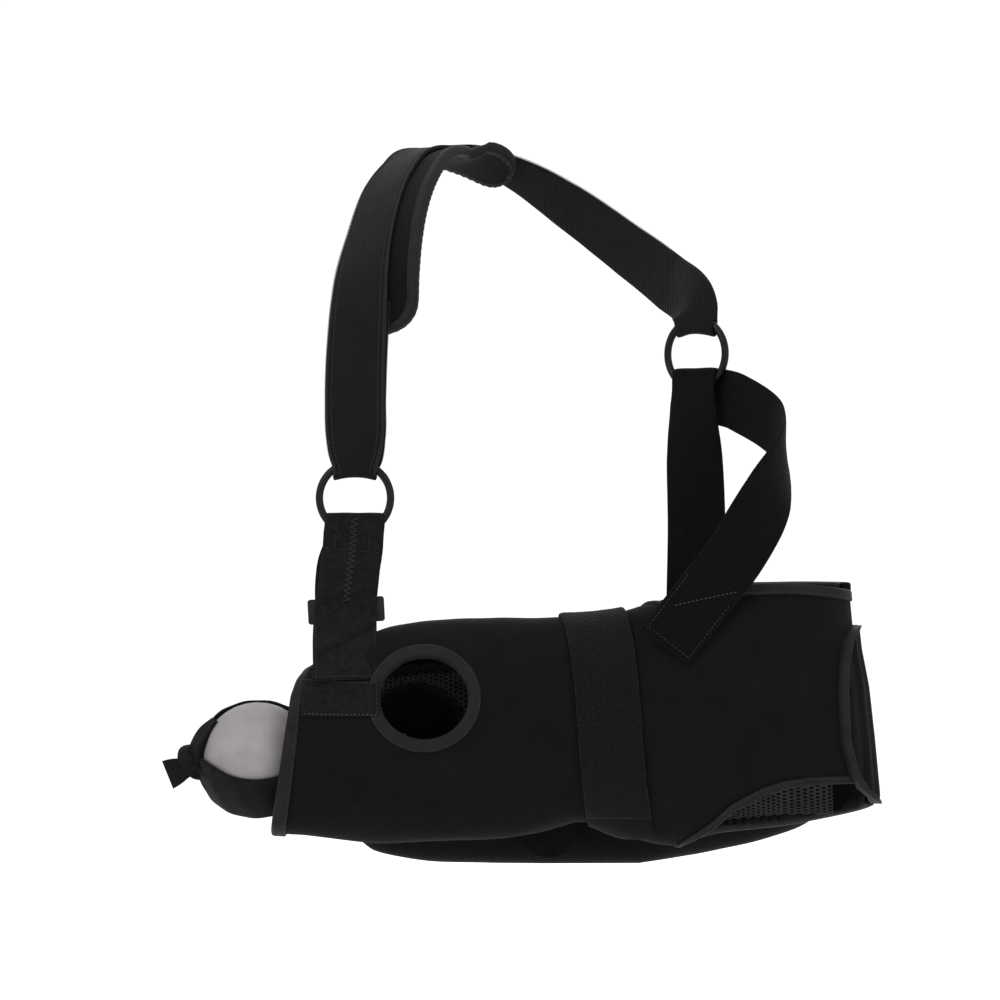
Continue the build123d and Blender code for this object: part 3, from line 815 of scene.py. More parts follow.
def lining_place(x, share, front):
    """Runs and section angles at places along and up one side's lining."""
    x = np.asarray(x, float)
    if front:
        low = np.maximum(outer_low(x), -math.pi / 2 + 0.05)
        high = outer_top(x)
        return x, low + (high - low) * share
    short = np.minimum(x, ELBOW_START)
    low, high = inner_low(short), inner_top(short)
    run = np.where(x <= ELBOW_START, back_run(x), back_run(ELBOW_START) - (x - ELBOW_START))
    return run, low + (high - low) * share


def net_cell(x, share, start):
    """One open hexagon of the net, as (X, share, depth) points and faces numbered from start."""
    verts, faces = [], []
    for depth in (0.0, NET_DEPTH):
        for reach in (0.575, 0.33):
            for corner in range(6):
                a = math.radians(60 * corner)
                verts.append((x + reach * NET_PITCH * math.cos(a),
                              share + reach * NET_PITCH * math.sin(a) / NET_SPAN, depth))
    outer, inner, outer_back, inner_back = start, start + 6, start + 12, start + 18
    for corner in range(6):
        n = (corner + 1) % 6
        faces.append((outer + corner, outer + n, inner + n, inner + corner))
        faces.append((outer_back + n, outer_back + corner, inner_back + corner, inner_back + n))
        faces.append((inner + corner, inner + n, inner_back + n, inner_back + corner))
        faces.append((outer + n, outer + corner, outer_back + corner, outer_back + n))
    return verts, faces


def make_lining(name, front):
    """An open net of hexagons on a dark backing, inside one panel."""
    column_step = NET_PITCH * math.sqrt(3) / 2
    hole = HAND_HOLE if front else BODY_HOLE
    verts, faces = [], []
    for column in range(int((ELBOW_START + 30.0 - NET_START) / column_step)):
        for line in range(int(NET_SPAN / NET_PITCH)):
            x = NET_START + (column + 0.5) * column_step
            share = (line + 0.5 + 0.5 * (column % 2)) * NET_PITCH / NET_SPAN
            if share > 0.985 or share < 0.05:
                continue
            centre = skin(*lining_place(x, share, front), -FABRIC - LINING)
            away = math.hypot((centre[0] - hole[0]) / HOLE_RADII[0],
                              (centre[2] - hole[1]) / HOLE_RADII[1])
            slant_x = np.interp(centre[2], HAND_EDGE[:, 0], HAND_EDGE[:, 1]) + 9
            if away < 1.12 or centre[0] < slant_x:
                continue
            cell_verts, cell_faces = net_cell(x, share, len(verts))
            verts += cell_verts
            faces += cell_faces
    data = np.array(verts)
    run, angle = lining_place(data[:, 0], data[:, 1], front)
    bumps = wrinkle(run + (0 if front else BACK_SHIFT), angle)
    points = skin(run, angle, -FABRIC - LINING + data[:, 2] + bumps)
    add_mesh(name + "_net", points, faces, "spacer_mesh", "sling", smooth=False)


def backing_low(run):
    return np.maximum(outer_low(run) + 0.05, SEAM_ANGLE)


def backing_top(run):
    return outer_top(run) - 0.05


def make_lining_base(name, node, front):
    """The lining's backing sheet, between the panel and the net."""
    if front:
        runs = np.concatenate([np.linspace(8, 250, 60), np.linspace(255, FRONT_LENGTH - 3, 30)])
        outer, moved, angle, bumps = panel_grid(runs, backing_low, backing_top, 48, -FABRIC - 0.1)
        inner = skin(moved, angle, -FABRIC - LINING + 0.9 + bumps)
    else:
        outer, run, angle, bumps = inner_grid(48, -FABRIC - 0.1)
        outer, run, angle, bumps = outer[2:], run[2:], angle[2:], bumps[2:]
        inner = skin(run, angle, -FABRIC - LINING + 0.9 + bumps)
    verts, faces = shell(outer, inner)
    piece = add_mesh(name + "_backing", verts, faces, "mesh_base", "sling")
    fix_normals(piece)
    if front:
        cut_hole(piece, HAND_HOLE, -40.0, MIDDLE - 5, 1.0)
    else:
        cut_hole(piece, BODY_HOLE, MIDDLE + 8, 130.0, 1.0)
    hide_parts(node)


# ---------------------------------------------------------------- straps
def ribbon_frames(route, spacing=1.6):
    """Centres, sideways and outward directions and half widths along a strap."""
    stops = np.array([[*point, *normal, width] for point, normal, width in route], float)
    line = smooth_through(stops, spacing)
    centres = line[:, :3]
    along = normalise(np.gradient(centres, axis=0))
    side = normalise(np.cross(along, line[:, 3:6]))
    out = normalise(np.cross(side, along))
    return centres, along, side, out, line[:, 6] / 2


def crease(point, start, end, depth, width):
    """How far a fold line pushes cloth in or out at a point seen from the front."""
    line = np.array([end[0] - start[0], end[1] - start[1]])
    length = np.hypot(*line)
    line = line / length
    reach = np.array([point[0] - start[0], point[2] - start[1]])
    along = reach @ line
    off = reach[0] * line[1] - reach[1] * line[0]
    fade = math.exp(-(max(-along, along - length, 0) / 6.0) ** 2)
    valley = -math.exp(-(off / width) ** 2)
    ridge = 0.7 * math.exp(-((off - 2.2 * width) / (1.5 * width)) ** 2)
    return depth * fade * (valley + ridge)


def ring_sag(middle, ring_centre, sideways):
    """How far a strap hangs lower at its edges where it is turned round a ring."""
    above = np.linalg.norm(middle - np.array(ring_centre) - np.array([0, 0, 15.0]))
    drop = RING_RADIUS - math.sqrt(max(RING_RADIUS ** 2 - sideways ** 2, 0.0))
    return 0.5 * drop * math.exp(-(above / 11.0) ** 2)


def ribbon_sections(route, thick, slide=0.0, width=None, columns=16, folds=(), taper=None,
                    rings=(), spacing=1.6):
    """Rings of points round a strap, with its centre line, directions and half widths."""
    centres, along, side, out, half = ribbon_frames(route, spacing)
    if width is not None:
        half = np.full(len(half), width / 2)
    if taper is not None:
        half = half * taper(len(half))
    sections = []
    for index in range(len(centres)):
        middle = centres[index] + side[index] * slide
        ring = []
        for face in (1, -1):
            shares = np.sin(np.linspace(-1, 1, columns) * math.pi / 2) * face
            for share in shares:
                edge = math.sqrt(max(1 - abs(share) ** 14, 0.0)) * 0.5 + 0.02
                point = middle + side[index] * half[index] * share
                for ring_centre in rings:
                    point[2] -= ring_sag(middle, ring_centre, half[index] * share)
                rise = face * thick * edge
                rise += 0.35 * noise.noise(Vector((point[2] / 13.0, share * 1.3, point[0] / 22.0)))
                for start, end, depth, spread in folds:
                    rise += crease(point, start, end, depth, spread)
                ring.append(point + out[index] * rise)
        sections.append(ring)
    return np.array(sections), (centres, along, side, out, half)


def make_strap(name, nodes, route, material, slot=None, thick=2.4, edge_stitch=None,
               overlock=False, **shape):
    """A strap along a route, with its edge stitches or overlocked edges."""
    sections, frames = ribbon_sections(route, thick, **shape)
    verts, faces = tube(sections)
    piece = add_mesh(name, verts, faces, material, "sling")
    fix_normals(piece)
    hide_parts(*nodes)
    centres, along, side, out, half = frames
    face_line = centres + out * (thick / 2)
    if edge_stitch:
        lines = [(face_line + side * (sign * (half - edge_stitch)[:, None]), out) for sign in (1, -1)]
        sew(name + "_stitches", lines, "sling", 2.6, 1.9)
    if overlock:
        groups = []
        for sign in (1, -1):
            line = face_line + side * (sign * (half - 0.9)[:, None])
            places, directions, normals = dashes(line, out, 1.5)
            across = np.cross(directions, normals) * sign + directions * 0.35
            groups.append((places, normalise(across), normals))
        verts, faces = stitch_mesh(groups, length=2.9, radius=0.45)
        add_mesh(name + "_overlock", verts, faces, "thread", "sling")


NECK_FRONT = [
    ((51.4, 41.4, 262.0), (0, -1, 0), 35.0),
    ((51.3, 42.0, 275.0), (0, -1, 0), 39.0),
    ((50.9, 47.0, 300.0), (0, -1, 0.1), 40.0),
    ((52.1, 62.0, 348.0), (-0.15, -0.95, 0.2), 40.0),
    ((53.2, 71.5, 368.0), (-0.25, -0.88, 0.32), 40.0),
    ((54.3, 81.0, 384.0), (-0.35, -0.8, 0.45), 40.0),
    ((60.0, 108.0, 418.0), (-0.5, -0.55, 0.66), 40.0),
    ((71.0, 146.0, 455.0), (-0.45, -0.3, 0.83), 40.0),
    ((84.0, 180.0, 475.0), (-0.3, -0.05, 0.93), 40.0),
    ((100.0, 212.0, 484.0), (0, 0, 1), 40.0),
]
NECK_BACK = [
    ((126.0, 232.0, 482.0), (0.15, 0.25, 0.95), 40.0),
    ((160.0, 236.0, 468.0), (0.5, 0.5, 0.7), 40.0),
    ((200.0, 220.0, 442.0), (0.7, 0.65, 0.3), 40.0),
    ((238.0, 190.0, 412.0), (0.72, 0.68, 0.1), 40.0),
    ((268.0, 156.0, 386.0), (0.66, 0.74, 0.0), 40.0),
    ((284.8, 122.0, 363.0), (0.6, 0.8, 0.0), 36.0),
]
REAR_OUTER = [
    ((260.0, 1.0, 133.0), (0, -1, 0), 40.5),
    ((290.0, -0.9, 172.0), (0, -1, 0), 40.5),
    ((306.0, -1.2, 192.5), (0, -1, 0), 40.5),
    ((318.0, -0.2, 212.0), (0.05, -1, 0), 40.5),
    ((332.0, 9.0, 238.0), (0.5, -0.85, 0), 40.0),
    ((343.0, 34.0, 262.0), (0.95, -0.3, 0), 40.0),
    ((338.0, 70.0, 282.0), (0.9, 0.45, 0), 40.0),
    ((314.0, 104.0, 300.0), (0.7, 0.72, 0), 40.0),
    ((293.0, 127.4, 311.0), (0.6, 0.8, 0), 38.0),
]
REAR_INNER = [
    ((284.0, 117.0, 300.0), (-0.6, -0.8, 0), 38.0),
    ((285.0, 108.0, 262.0), (-0.3, -0.95, 0), 40.0),
    ((286.0, 99.0, 215.0), (-0.1, -1, 0), 40.0),
    ((285.0, 91.0, 172.0), (0, -1, 0), 40.0),
    ((284.0, 89.4, 128.0), (0, -1, 0), 40.0),
]
FRONT_STRAP = [
    ((50.6, 42.2, 209.0), (0, -1, 0), 41.0),
    ((49.7, 42.9, 197.0), (0, -1, 0), 41.0),
    ((48.4, 40.4, 187.0), (0, -1, 0), 40.6),
    ((47.2, 39.3, 176.0), (0, -1, 0), 40.8),
    ((46.0, 39.0, 166.0), (0, -1, 0), 41.0),
    ((45.2, 38.4, 158.0), (0, -1, 0.1), 41.6),
    ((45.2, 34.6, 150.0), (0, -1, 0.5), 42.4),
    ((45.4, 25.5, 138.0), (0, -0.85, 0.6), 42.8),
    ((45.7, 16.0, 124.0), (0, -0.85, 0.5), 43.4),
    ((46.0, 8.6, 111.4), (0, -0.95, 0.3), 44.0),
]
ADJUSTER_BACK = [
    ((44.6, 47.0, 149.0), (0, 1, 0), 41.0),
    ((44.6, 47.0, 158.0), (0, 1, 0), 41.0),
    ((45.0, 47.0, 176.0), (0, 1, 0), 41.6),
    ((46.4, 46.6, 187.0), (0, 1, 0), 41.6),
    ((49.6, 45.4, 197.0), (0, 1, 0), 41.0),
    ((50.4, 46.6, 209.0), (0, 1, 0), 41.0),
]
INNER_LEG = [
    ((42.0, 85.6, 96.0), (0, 1, 0.1), 41.0),
    ((42.0, 80.0, 112.0), (0, 1, 0.4), 41.0),
    ((42.0, 71.0, 127.0), (0, 0.8, 0.6), 41.0),
    ((42.6, 59.0, 141.0), (0, 0.8, 0.6), 41.0),
    ((43.6, 50.6, 152.0), (0, 0.9, 0.3), 41.0),
]


def lowered(route, depths):
    """The same route, each stop moved inwards by its own depth."""
    found = []
    for (point, normal, width), depth in zip(route, depths):
        inward = Vector(normal).normalized() * depth
        found.append((tuple(Vector(point) - inward), normal, width))
    return found


def turned_round(ring_centre, normal, edge, width):
    """Stops that take a strap round a ring's wire, from the strap's back to its front."""
    out = Vector(normal).normalized()
    away = math.copysign(1, edge)
    stops = []
    turn = ((-3.3, 5.0, 0.0), (-2.6, 1.9, -0.7), (0.0, 0.6, -1.0), (2.6, 1.9, -0.7), (3.3, 5.0, 0.0))
    for depth, rise, lean in turn:
        place = Vector(ring_centre) + out * depth + Vector((0, 0, edge + away * (rise + 0.6)))
        facing = (out * depth / 3.3 + Vector((0, 0, away * lean))).normalized()
        stops.append((tuple(place), tuple(facing), width))
    return stops


def make_straps():
    back_layer = []
    for (point, normal, width), depth in zip(NECK_FRONT[:5], (6.8, 3.6, 2.8, 2.8, 2.8)):
        place = Vector(point) + Vector((1.4, 0, 0)) - Vector(normal).normalized() * depth
        back_layer.insert(0, (tuple(place), tuple(-Vector(normal)), width))
    front_turn = turned_round(FRONT_RING, (0, -1, 0), 13.8, 29.2)
    rear_turn = [(place, tuple(-Vector(facing)), width)
                 for place, facing, width in turned_round(REAR_RING, (0.6, 0.8, 0), 13.8, 31.0)]
    rear_stub = [((288.0, 128.4, 363.0), (-0.6, -0.8, 0.0), 36.0),
                 ((270.4, 158.8, 386.4), (-0.66, -0.74, 0.0), 39.0),
                 ((257.0, 174.0, 397.0), (-0.7, -0.7, -0.05), 39.0)]
    make_strap("neck_strap_cloth", ["neck_strap", "neck_strap_end"],
               back_layer + front_turn + NECK_FRONT + NECK_BACK + rear_turn + rear_stub,
               "strap_fleece", edge_stitch=4.4, overlock=True, rings=(FRONT_RING, REAR_RING))
    folds = [((70.0, 148.0), (24.0, 124.5), 1.7, 1.7), ((66.0, 168.0), (30.0, 163.0), 0.8, 2.2)]
    lower_turn = turned_round(FRONT_RING, (0, -1, 0), -9.9, 40.6)
    make_strap("front_strap_webbing", ["adjuster_strap", "front_outer_leg"],
               ADJUSTER_BACK + lower_turn + FRONT_STRAP,
               "webbing", thick=2.2, columns=34, folds=folds, spacing=1.2)
    make_strap("inner_leg_webbing", ["front_inner_leg"], INNER_LEG, "webbing", edge_stitch=3.6)
    rear_lower = turned_round(REAR_RING, (0.6, 0.8, 0), -9.9, 36.5)[::-1]
    make_strap("rear_leg_webbing", ["rear_outer_leg", "rear_inner_leg"],
               REAR_OUTER + rear_lower + REAR_INNER, "dark_webbing", slot="webbing")


def rounded_ends(samples):
    """Shares of the full width along a pad whose ends are rounded."""
    spread = np.abs(np.linspace(-1, 1, samples))
    reach = np.clip((spread - 0.80) / 0.20, 0, 1)
    return np.maximum(np.sqrt(1 - reach ** 2.4), 0.24)


def make_shoulder_pad():
    """The long pad under the strap at the shoulder: rounded ends and tape all round."""
    stops = NECK_FRONT[3:] + NECK_BACK[:2]
    route = lowered(stops, [8.4, 8.2, 7.0] + [6.0] * (len(stops) - 3))
    sections, frames = ribbon_sections(route, 7.0, slide=9.0, width=58.0, columns=24, taper=rounded_ends)
    verts, faces = tube(sections)
    pad = add_mesh("shoulder_pad_cloth", verts, faces, "pad_fabric", "sling")
    fix_normals(pad)
    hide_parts("shoulder_pad")
    centres, along, side, out, half = frames
    middle = centres + side * 9.0
    left = middle + side * (half + 0.8)[:, None]
    right = middle - side * (half + 0.8)[:, None]
    count = 14
    loop = [left[:1] + (right[:1] - left[:1]) * t for t in np.linspace(1, 0, count + 2)[1:-1]]
    far = [right[-1:] * t + left[-1:] * (1 - t) for t in np.linspace(0, 1, count + 2)[1:-1]]
    edge = np.vstack(loop + [left] + far + [right[::-1]])
    outs = np.vstack([np.repeat(out[:1], count, 0), out, np.repeat(out[-1:], count, 0), out[::-1]])
    home = np.vstack([np.repeat(middle[3:4], count, 0), middle,
                      np.repeat(middle[-4:-3], count, 0), middle[::-1]])
    inward = home - edge
    inward = normalise(inward - np.sum(inward * outs, axis=-1, keepdims=True) * outs)
    keep = np.concatenate([[0], np.cumsum(np.linalg.norm(np.diff(edge, axis=0), axis=1))])
    wanted = np.linspace(0, keep[-1], 330, endpoint=False)
    parts = []
    for grid in (edge, outs, inward):
        parts.append(np.stack([np.interp(wanted, keep, grid[:, k]) for k in range(3)], 1))
    edge, outs, inward = parts[0], normalise(parts[1]), normalise(parts[2])
    verts, faces = tape_along(edge + outs * 2.3, outs, inward, 6.4, closed=True)
    tape = add_mesh("shoulder_pad_tape", verts, faces, "binding", "sling")
    fix_normals(tape)
    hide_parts("shoulder_pad_binding")
    sew("shoulder_pad_stitches", [(edge + outs * 3.6 + inward * 5.2, outs)], "sling")


# ---------------------------------------------------------------- closures on the skin
def skin_strip(name, nodes, runs, angles, low_off, high_off, material, body, bump=0.0):
    """A strip that hugs the pouch's skin, from grids of run and angle."""
    bumps = wrinkle(runs, angles)
    lumps = np.zeros(runs.shape)
    if bump:
        for index in np.ndindex(runs.shape):
            place = Vector((runs[index] / 3.0, angles[index] * 22.0, 1.3))
            lumps[index] = noise.noise(place) * bump
    edge = np.zeros(runs.shape)
    edge[:, 0] = edge[:, -1] = edge[0, :] = edge[-1, :] = 0.25 * (high_off - low_off)
    outer = skin(runs, angles, high_off + bumps + lumps - edge)
    inner = skin(runs, angles, low_off + bumps)
    verts, faces = shell(outer, inner)
    piece = add_mesh(name, verts, faces, material, body)
    fix_normals(piece)
    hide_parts(*nodes)


def band_middle(angle):
    """Where the middle of the closure band runs at a section angle on the outer face."""
    share = np.clip((math.pi / 2 - angle) / math.pi, 0, 1)
    return 212.0 + 23.0 * share


def level_angles(runs, angles):
    """Section angles that keep each row of a strip at one height, as low as the skin goes there."""
    middle = band_middle(angles)
    low, high = station(middle, 2), station(middle, 3)
    heights = (low + high) / 2 + (high - low) / 2 * signed_power(np.sin(angles), 2 / SECTION_POWER)
    level = height_angle(runs, np.broadcast_to(heights, runs.shape))
    lower_half = blend_step(-angles, -0.7, 0.0)
    return np.clip(angles + (level - angles) * lower_half, math.radians(-93.0), None)


def make_closure_band():
    """The pile band over the pouch, its hook end and the part sewn to the body side."""
    low = math.radians(-52.0)
    top = math.radians(88.0)
    across = np.linspace(-21.6, 21.6, 36)[None, :]
    angles = np.linspace(top, low, 110)[:, None]
    runs = band_middle(angles) + across
    angles = level_angles(runs, angles)
    skin_strip("closure_band_pile", ["closure_band"], runs, angles, 0.6, 3.4,
               "pile_band", "closure_band", bump=0.12)
    angles = np.linspace(math.radians(-50.0), math.radians(-84.0), 40)[:, None]
    half = 21.4 * np.sqrt(np.clip(1 - (np.linspace(0, 1, 40) ** 6), 0.3, 1))[:, None]
    runs = band_middle(angles) + across / 21.6 * half
    angles = level_angles(runs, angles)
    skin_strip("closure_hook_end", ["closure_hook_tab"], runs, angles, 0.6, 2.4,
               "hook_tape", "closure_band")
    angles = np.linspace(math.radians(93.0), math.radians(170.0), 60)[:, None]
    runs = 212.0 - (angles - math.pi / 2) * 2 + across
    skin_strip("closure_band_sewn_part", ["closure_band_back"], runs,
               np.broadcast_to(angles, runs.shape), 0.3, 2.6, "pile_band", "sling", bump=0.12)


def make_anchor_patch():
    """The patch that the front strap is sewn to, with stitches along three sides."""
    xs = np.linspace(16.6, 69.6, 40)[None, :]
    zs = np.linspace(86.5, 110.0, 22)[:, None]
    xs = np.broadcast_to(xs, (22, 40)).copy()
    zs = np.broadcast_to(zs, (22, 40)).copy()
    angles = height_angle(xs, zs)
    skin_strip("anchor_patch_webbing", ["anchor_patch"], xs, angles, 0.1, 1.9, "webbing", "sling")
    lines = []
    for z in (87.8, 108.8):
        x = np.linspace(18, 68, 40)
        a = height_angle(x, np.full(40, z))
        p = skin(x, a, 2.0 + wrinkle(x, a))
        n = normalise(skin(x, a, 3.0) - skin(x, a, 2.0))
        lines.append((p, n))
    z = np.linspace(87.8, 108.8, 16)
    x = np.full(16, 67.6)
    a = height_angle(x, z)
    lines.append((skin(x, a, 2.0 + wrinkle(x, a)), normalise(skin(x, a, 3.0) - skin(x, a, 2.0))))
    sew("anchor_patch_stitches", lines[:1], "sling", 2.6, 1.9, 0.42, "worn_thread")
    sew("anchor_patch_side_stitches", lines[1:], "sling", 2.6, 1.9)


FLAP_EDGE = np.array([(24.0, 92.0), (26.0, 78.0), (30.0, 66.0), (36.0, 55.0), (45.0, 46.0), (69.0, 39.0),
                      (103.0, 40.0), (122.0, 45.0), (133.0, 51.0), (139.0, 57.0),
                      (143.0, 66.0), (146.0, 84.0)])


def make_elbow_flap():
    """The flap that wraps the elbow's tip, with its bound front edge, and its sewn root."""
    heights = np.linspace(24.5, 146.0, 44)
    base_angle = height_angle(np.full(44, ELBOW_START), heights)
    first = np.interp(heights, FLAP_EDGE[:, 0], FLAP_EDGE[:, 1])
    share = np.linspace(0, 1, 36)[None, :]
    turn = first[:, None] + (104.0 - first[:, None]) * share
    runs = ELBOW_START + np.radians(turn) * ELBOW_REACH
    angles = np.broadcast_to(base_angle[:, None], runs.shape)
    folds = 0.9 * np.sin(turn * 0.42) * np.exp(-((turn - 62) / 16.0) ** 2)
    outer = skin(runs, angles, 4.6 + folds)
    inner = skin(runs, angles, 1.0 + folds)
    verts, faces = shell(outer, inner)
    piece = add_mesh("elbow_flap_cloth", verts, faces, "laminate", "elbow_flap")
    fix_normals(piece)
    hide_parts("elbow_flap")

    edge = outer[:, 0]
    normals = normalise(outer[:, 0] - inner[:, 0])
    inward = outer[:, 3] - outer[:, 0]
    inward = normalise(inward - np.sum(inward * normals, axis=-1, keepdims=True) * normals)
    verts, faces = tape_along(edge, normals, inward, 4.8)
    tape = add_mesh("elbow_flap_tape", verts, faces, "binding", "elbow_flap")
    fix_normals(tape)
    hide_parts("elbow_flap_binding")
    line = edge + inward * 3.9 + normals * 1.3
    sew("elbow_flap_stitches", [(line, normals)], "elbow_flap")

    turn = np.linspace(104.6, 176.0, 26)[None, :]
    lowest = np.interp(turn, (104.6, 176.0), (24.0, 11.0))
    heights = lowest + (146.0 - lowest) * np.linspace(0, 1, 40)[:, None]
    runs = np.broadcast_to(ELBOW_START + np.radians(turn) * ELBOW_REACH, heights.shape)
    angles = height_angle(np.full(heights.shape, ELBOW_START), heights)
    outer = skin(runs, angles, 4.2)
    inner = skin(runs, angles, 0.5)
    verts, faces = shell(outer, inner)
    root = add_mesh("elbow_wrap_cloth", verts, faces, "laminate", "sling")
    fix_normals(root)
    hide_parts("elbow_wrap")


def make_band_end_tab():
    """The half-round end of the hook tab that hangs below the pouch."""
    count = 24
    sections = []
    for y, grow in ((79.6, -0.3), (79.9, 0.0), (81.3, 0.0), (81.6, -0.3)):
        ring = [(165.0 - grow, y, 12.0), (165.0 - grow, y, 2.0)]
        for step in range(1, count):
            a = math.pi + math.pi * step / count
            ring.append((184.0 + (19.0 + grow) * math.cos(a), y, 2.0 + (16.0 + grow) * math.sin(a)))
        ring += [(203.0 + grow, y, 2.0), (203.0 + grow, y, 12.0)]
        sections.append(ring)
    verts, faces = tube(np.array(sections))
    piece = add_mesh("band_end_tab_cloth", verts, faces, "hook_tape", "sling", smooth=False)
    fix_normals(piece)
    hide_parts("band_end_tab")


# ---------------------------------------------------------------- pillow
PILLOW_UNDERSIDE = np.array([(38.0, 4.0), (62.0, 0.0), (250.0, 0.0),
                             (290.0, 7.0), (331.0, 14.0), (388.0, 24.0)])


def make_pillow():
    """The foam pillow's cover: a crowned block whose edges are soft."""
    low = np.array([38.0, 91.0, -21.0])
    high = np.array([388.0, 158.0, 131.0])
    rows, columns = 96, 72
    power_plan, power_face = 5.0, 3.4
    points = np.zeros((rows, columns, 3))
    centre, half = (low + high) / 2, (high - low) / 2
    for i in range(rows):
        u = -math.pi / 2 + math.pi * (i + 0.5) / rows
        for j in range(columns):
            v = 2 * math.pi * j / columns
            x = signed_power(math.sin(u), 2 / power_plan)
            ring = signed_power(math.cos(u), 2 / power_plan)
            y = ring * signed_power(math.cos(v), 2 / power_face)
            z = ring * signed_power(math.sin(v), 2 / power_face)
            point = centre + half * np.array([x, y, z])
            rise = np.interp(point[0], PILLOW_UNDERSIDE[:, 0], PILLOW_UNDERSIDE[:, 1])
            point[2] += rise * np.clip((high[2] - point[2]) / (high[2] - low[2]), 0, 1)
            fold = noise.noise(Vector((point[0] / 30.0, point[1] / 24.0, point[2] / 20.0)))
            end = (math.exp(-((point[0] - 52.0) / 26.0) ** 2)
                   + math.exp(-((point[0] - 376.0) / 22.0) ** 2))
            point += (point - centre) / np.linalg.norm(point - centre) * (fold * (0.8 + 2.4 * end))
            points[i, j] = point
    verts = points.reshape(-1, 3)
    faces = grid_faces(rows, columns, closed=True)
    faces.append(tuple(range(columns))[::-1])
    faces.append(tuple((rows - 1) * columns + j for j in range(columns)))
    piece = add_mesh("pillow_cloth", verts, faces, "pillow_fabric", "sling")
    fix_normals(piece)
    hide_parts("pillow_cover", "pillow_core", "pillow_loop_strip", "pillow_hook_strip")


# ---------------------------------------------------------------- rings and buckle
def make_ring(name, node, centre, normal):
    """A coated wire ring with the slight swell of its weld."""
    around, wire = 120, 20
    out = Vector(normal).normalized()
    side = Vector((0, 0, 1)).cross(out).normalized()
    up = out.cross(side)
    verts = []
    for i in range(around):
        a = 2 * math.pi * i / around
        radial = side * math.cos(a) + up * math.sin(a)
        swell = 1.0 + 0.035 * math.exp(-((a - 0.6) / 0.09) ** 2)
        for j in range(wire):
            b = 2 * math.pi * j / wire
            wide = RING_RADIUS + WIRE_RADIUS * swell * math.cos(b)
            point = Vector(centre) + radial * wide + out * WIRE_RADIUS * swell * math.sin(b)
            verts.append(tuple(point))
    faces = []
    for i in range(around):
        n = (i + 1) % around
        for j in range(wire):
            k = (j + 1) % wire
            faces.append((i * wire + j, i * wire + k, n * wire + k, n * wire + j))
    piece = add_mesh(name, np.array(verts), faces, "ring_metal", node)
    fix_normals(piece)
    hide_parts(node)


def finish_buckle():
    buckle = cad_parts["slide_buckle"]
    buckle.data.materials.clear()
    buckle.data.materials.append(MATERIALS["buckle_plastic"])
    bevel = buckle.modifiers.new("soft_edges", "BEVEL")
    bevel.width = 0.0011
    bevel.segments = 4
    bevel.limit_method = "ANGLE"


# ---------------------------------------------------------------- ball and its strap
def band_axes():
    axis = np.array([0.0, -math.cos(BAND_TILT), math.sin(BAND_TILT)])
    first = np.array([1.0, 0.0, 0.0])
    second = np.cross(axis, first)
    return axis, first, second


def make_ball():
    rows, columns = 96, 128
    verts = []
    for i in range(rows + 1):
        u = math.pi * i / rows
        for j in range(columns):
            v = 2 * math.pi * j / columns
            direction = Vector((math.sin(u) * math.cos(v), math.sin(u) * math.sin(v), math.cos(u)))
            dent = 0.12 * noise.noise(direction * 9.0) + 0.06 * noise.noise(direction * 31.0)
            seam = -0.22 * math.exp(-((u - math.pi / 2) / 0.012) ** 2)
            verts.append(tuple(Vector(BALL) + direction * (BALL_RADIUS + dent + seam)))
    faces = grid_faces(rows + 1, columns, closed=True)
    piece = add_mesh("ball_skin", np.array(verts), faces, "ball_foam", "exercise_ball")
    fix_normals(piece, weld=True)
    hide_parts("exercise_ball")


def make_ball_strap():
    """The webbing round the ball: a flat band that gathers towards the knot."""
    axis, first, second = band_axes()
    centre = np.array(BALL)
    around, across = 150, 18
    outer, inner = [], []
    for i in range(around):
        a = 2 * math.pi * i / around
        radial = first * math.cos(a) + second * math.sin(a)
        towards_knot = math.exp(-((abs(math.pi - a)) / 0.42) ** 2)
        half = 18.5 * (1 - 0.52 * towards_knot)
        line_out, line_in = [], []
        for j in range(across):
            share = -1 + 2 * j / (across - 1)
            height = half * share
            reach = math.sqrt((BALL_RADIUS + 0.6) ** 2 - height ** 2 * 0.88)
            fold = 1.5 * towards_knot * math.sin(share * 9.0) + 0.25 * math.sin(a * 13 + share * 3)
            lift = 0.35 + 0.5 * abs(share) ** 6
            line_out.append(centre + radial * (reach + lift + 1.9 + max(fold, -0.4)) + axis * height)
            line_in.append(centre + radial * (reach + lift) + axis * height)
        outer.append(line_out)
        inner.append(line_in)
    outer, inner = np.array(outer), np.array(inner)
    ring = np.concatenate([outer, inner[:, ::-1]], axis=1)
    rows, columns = ring.shape[:2]
    verts = ring.reshape(-1, 3)
    faces = []
    for i in range(rows):
        n = (i + 1) % rows
        for j in range(columns):
            k = (j + 1) % columns
            faces.append((i * columns + j, i * columns + k, n * columns + k, n * columns + j))
    piece = add_mesh("ball_band_webbing", verts, faces, "webbing", "ball_strap")
    fix_normals(piece)
    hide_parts("ball_strap")


def bundle(name, stops, material, body, thick):
    """A gathered length of webbing through (point, normal, width) stops."""
    sections, _ = ribbon_sections(stops, thick, columns=14, spacing=0.8)
    verts, faces = tube(sections)
    piece = add_mesh(name, verts, faces, material, body)
    fix_normals(piece)
    return piece


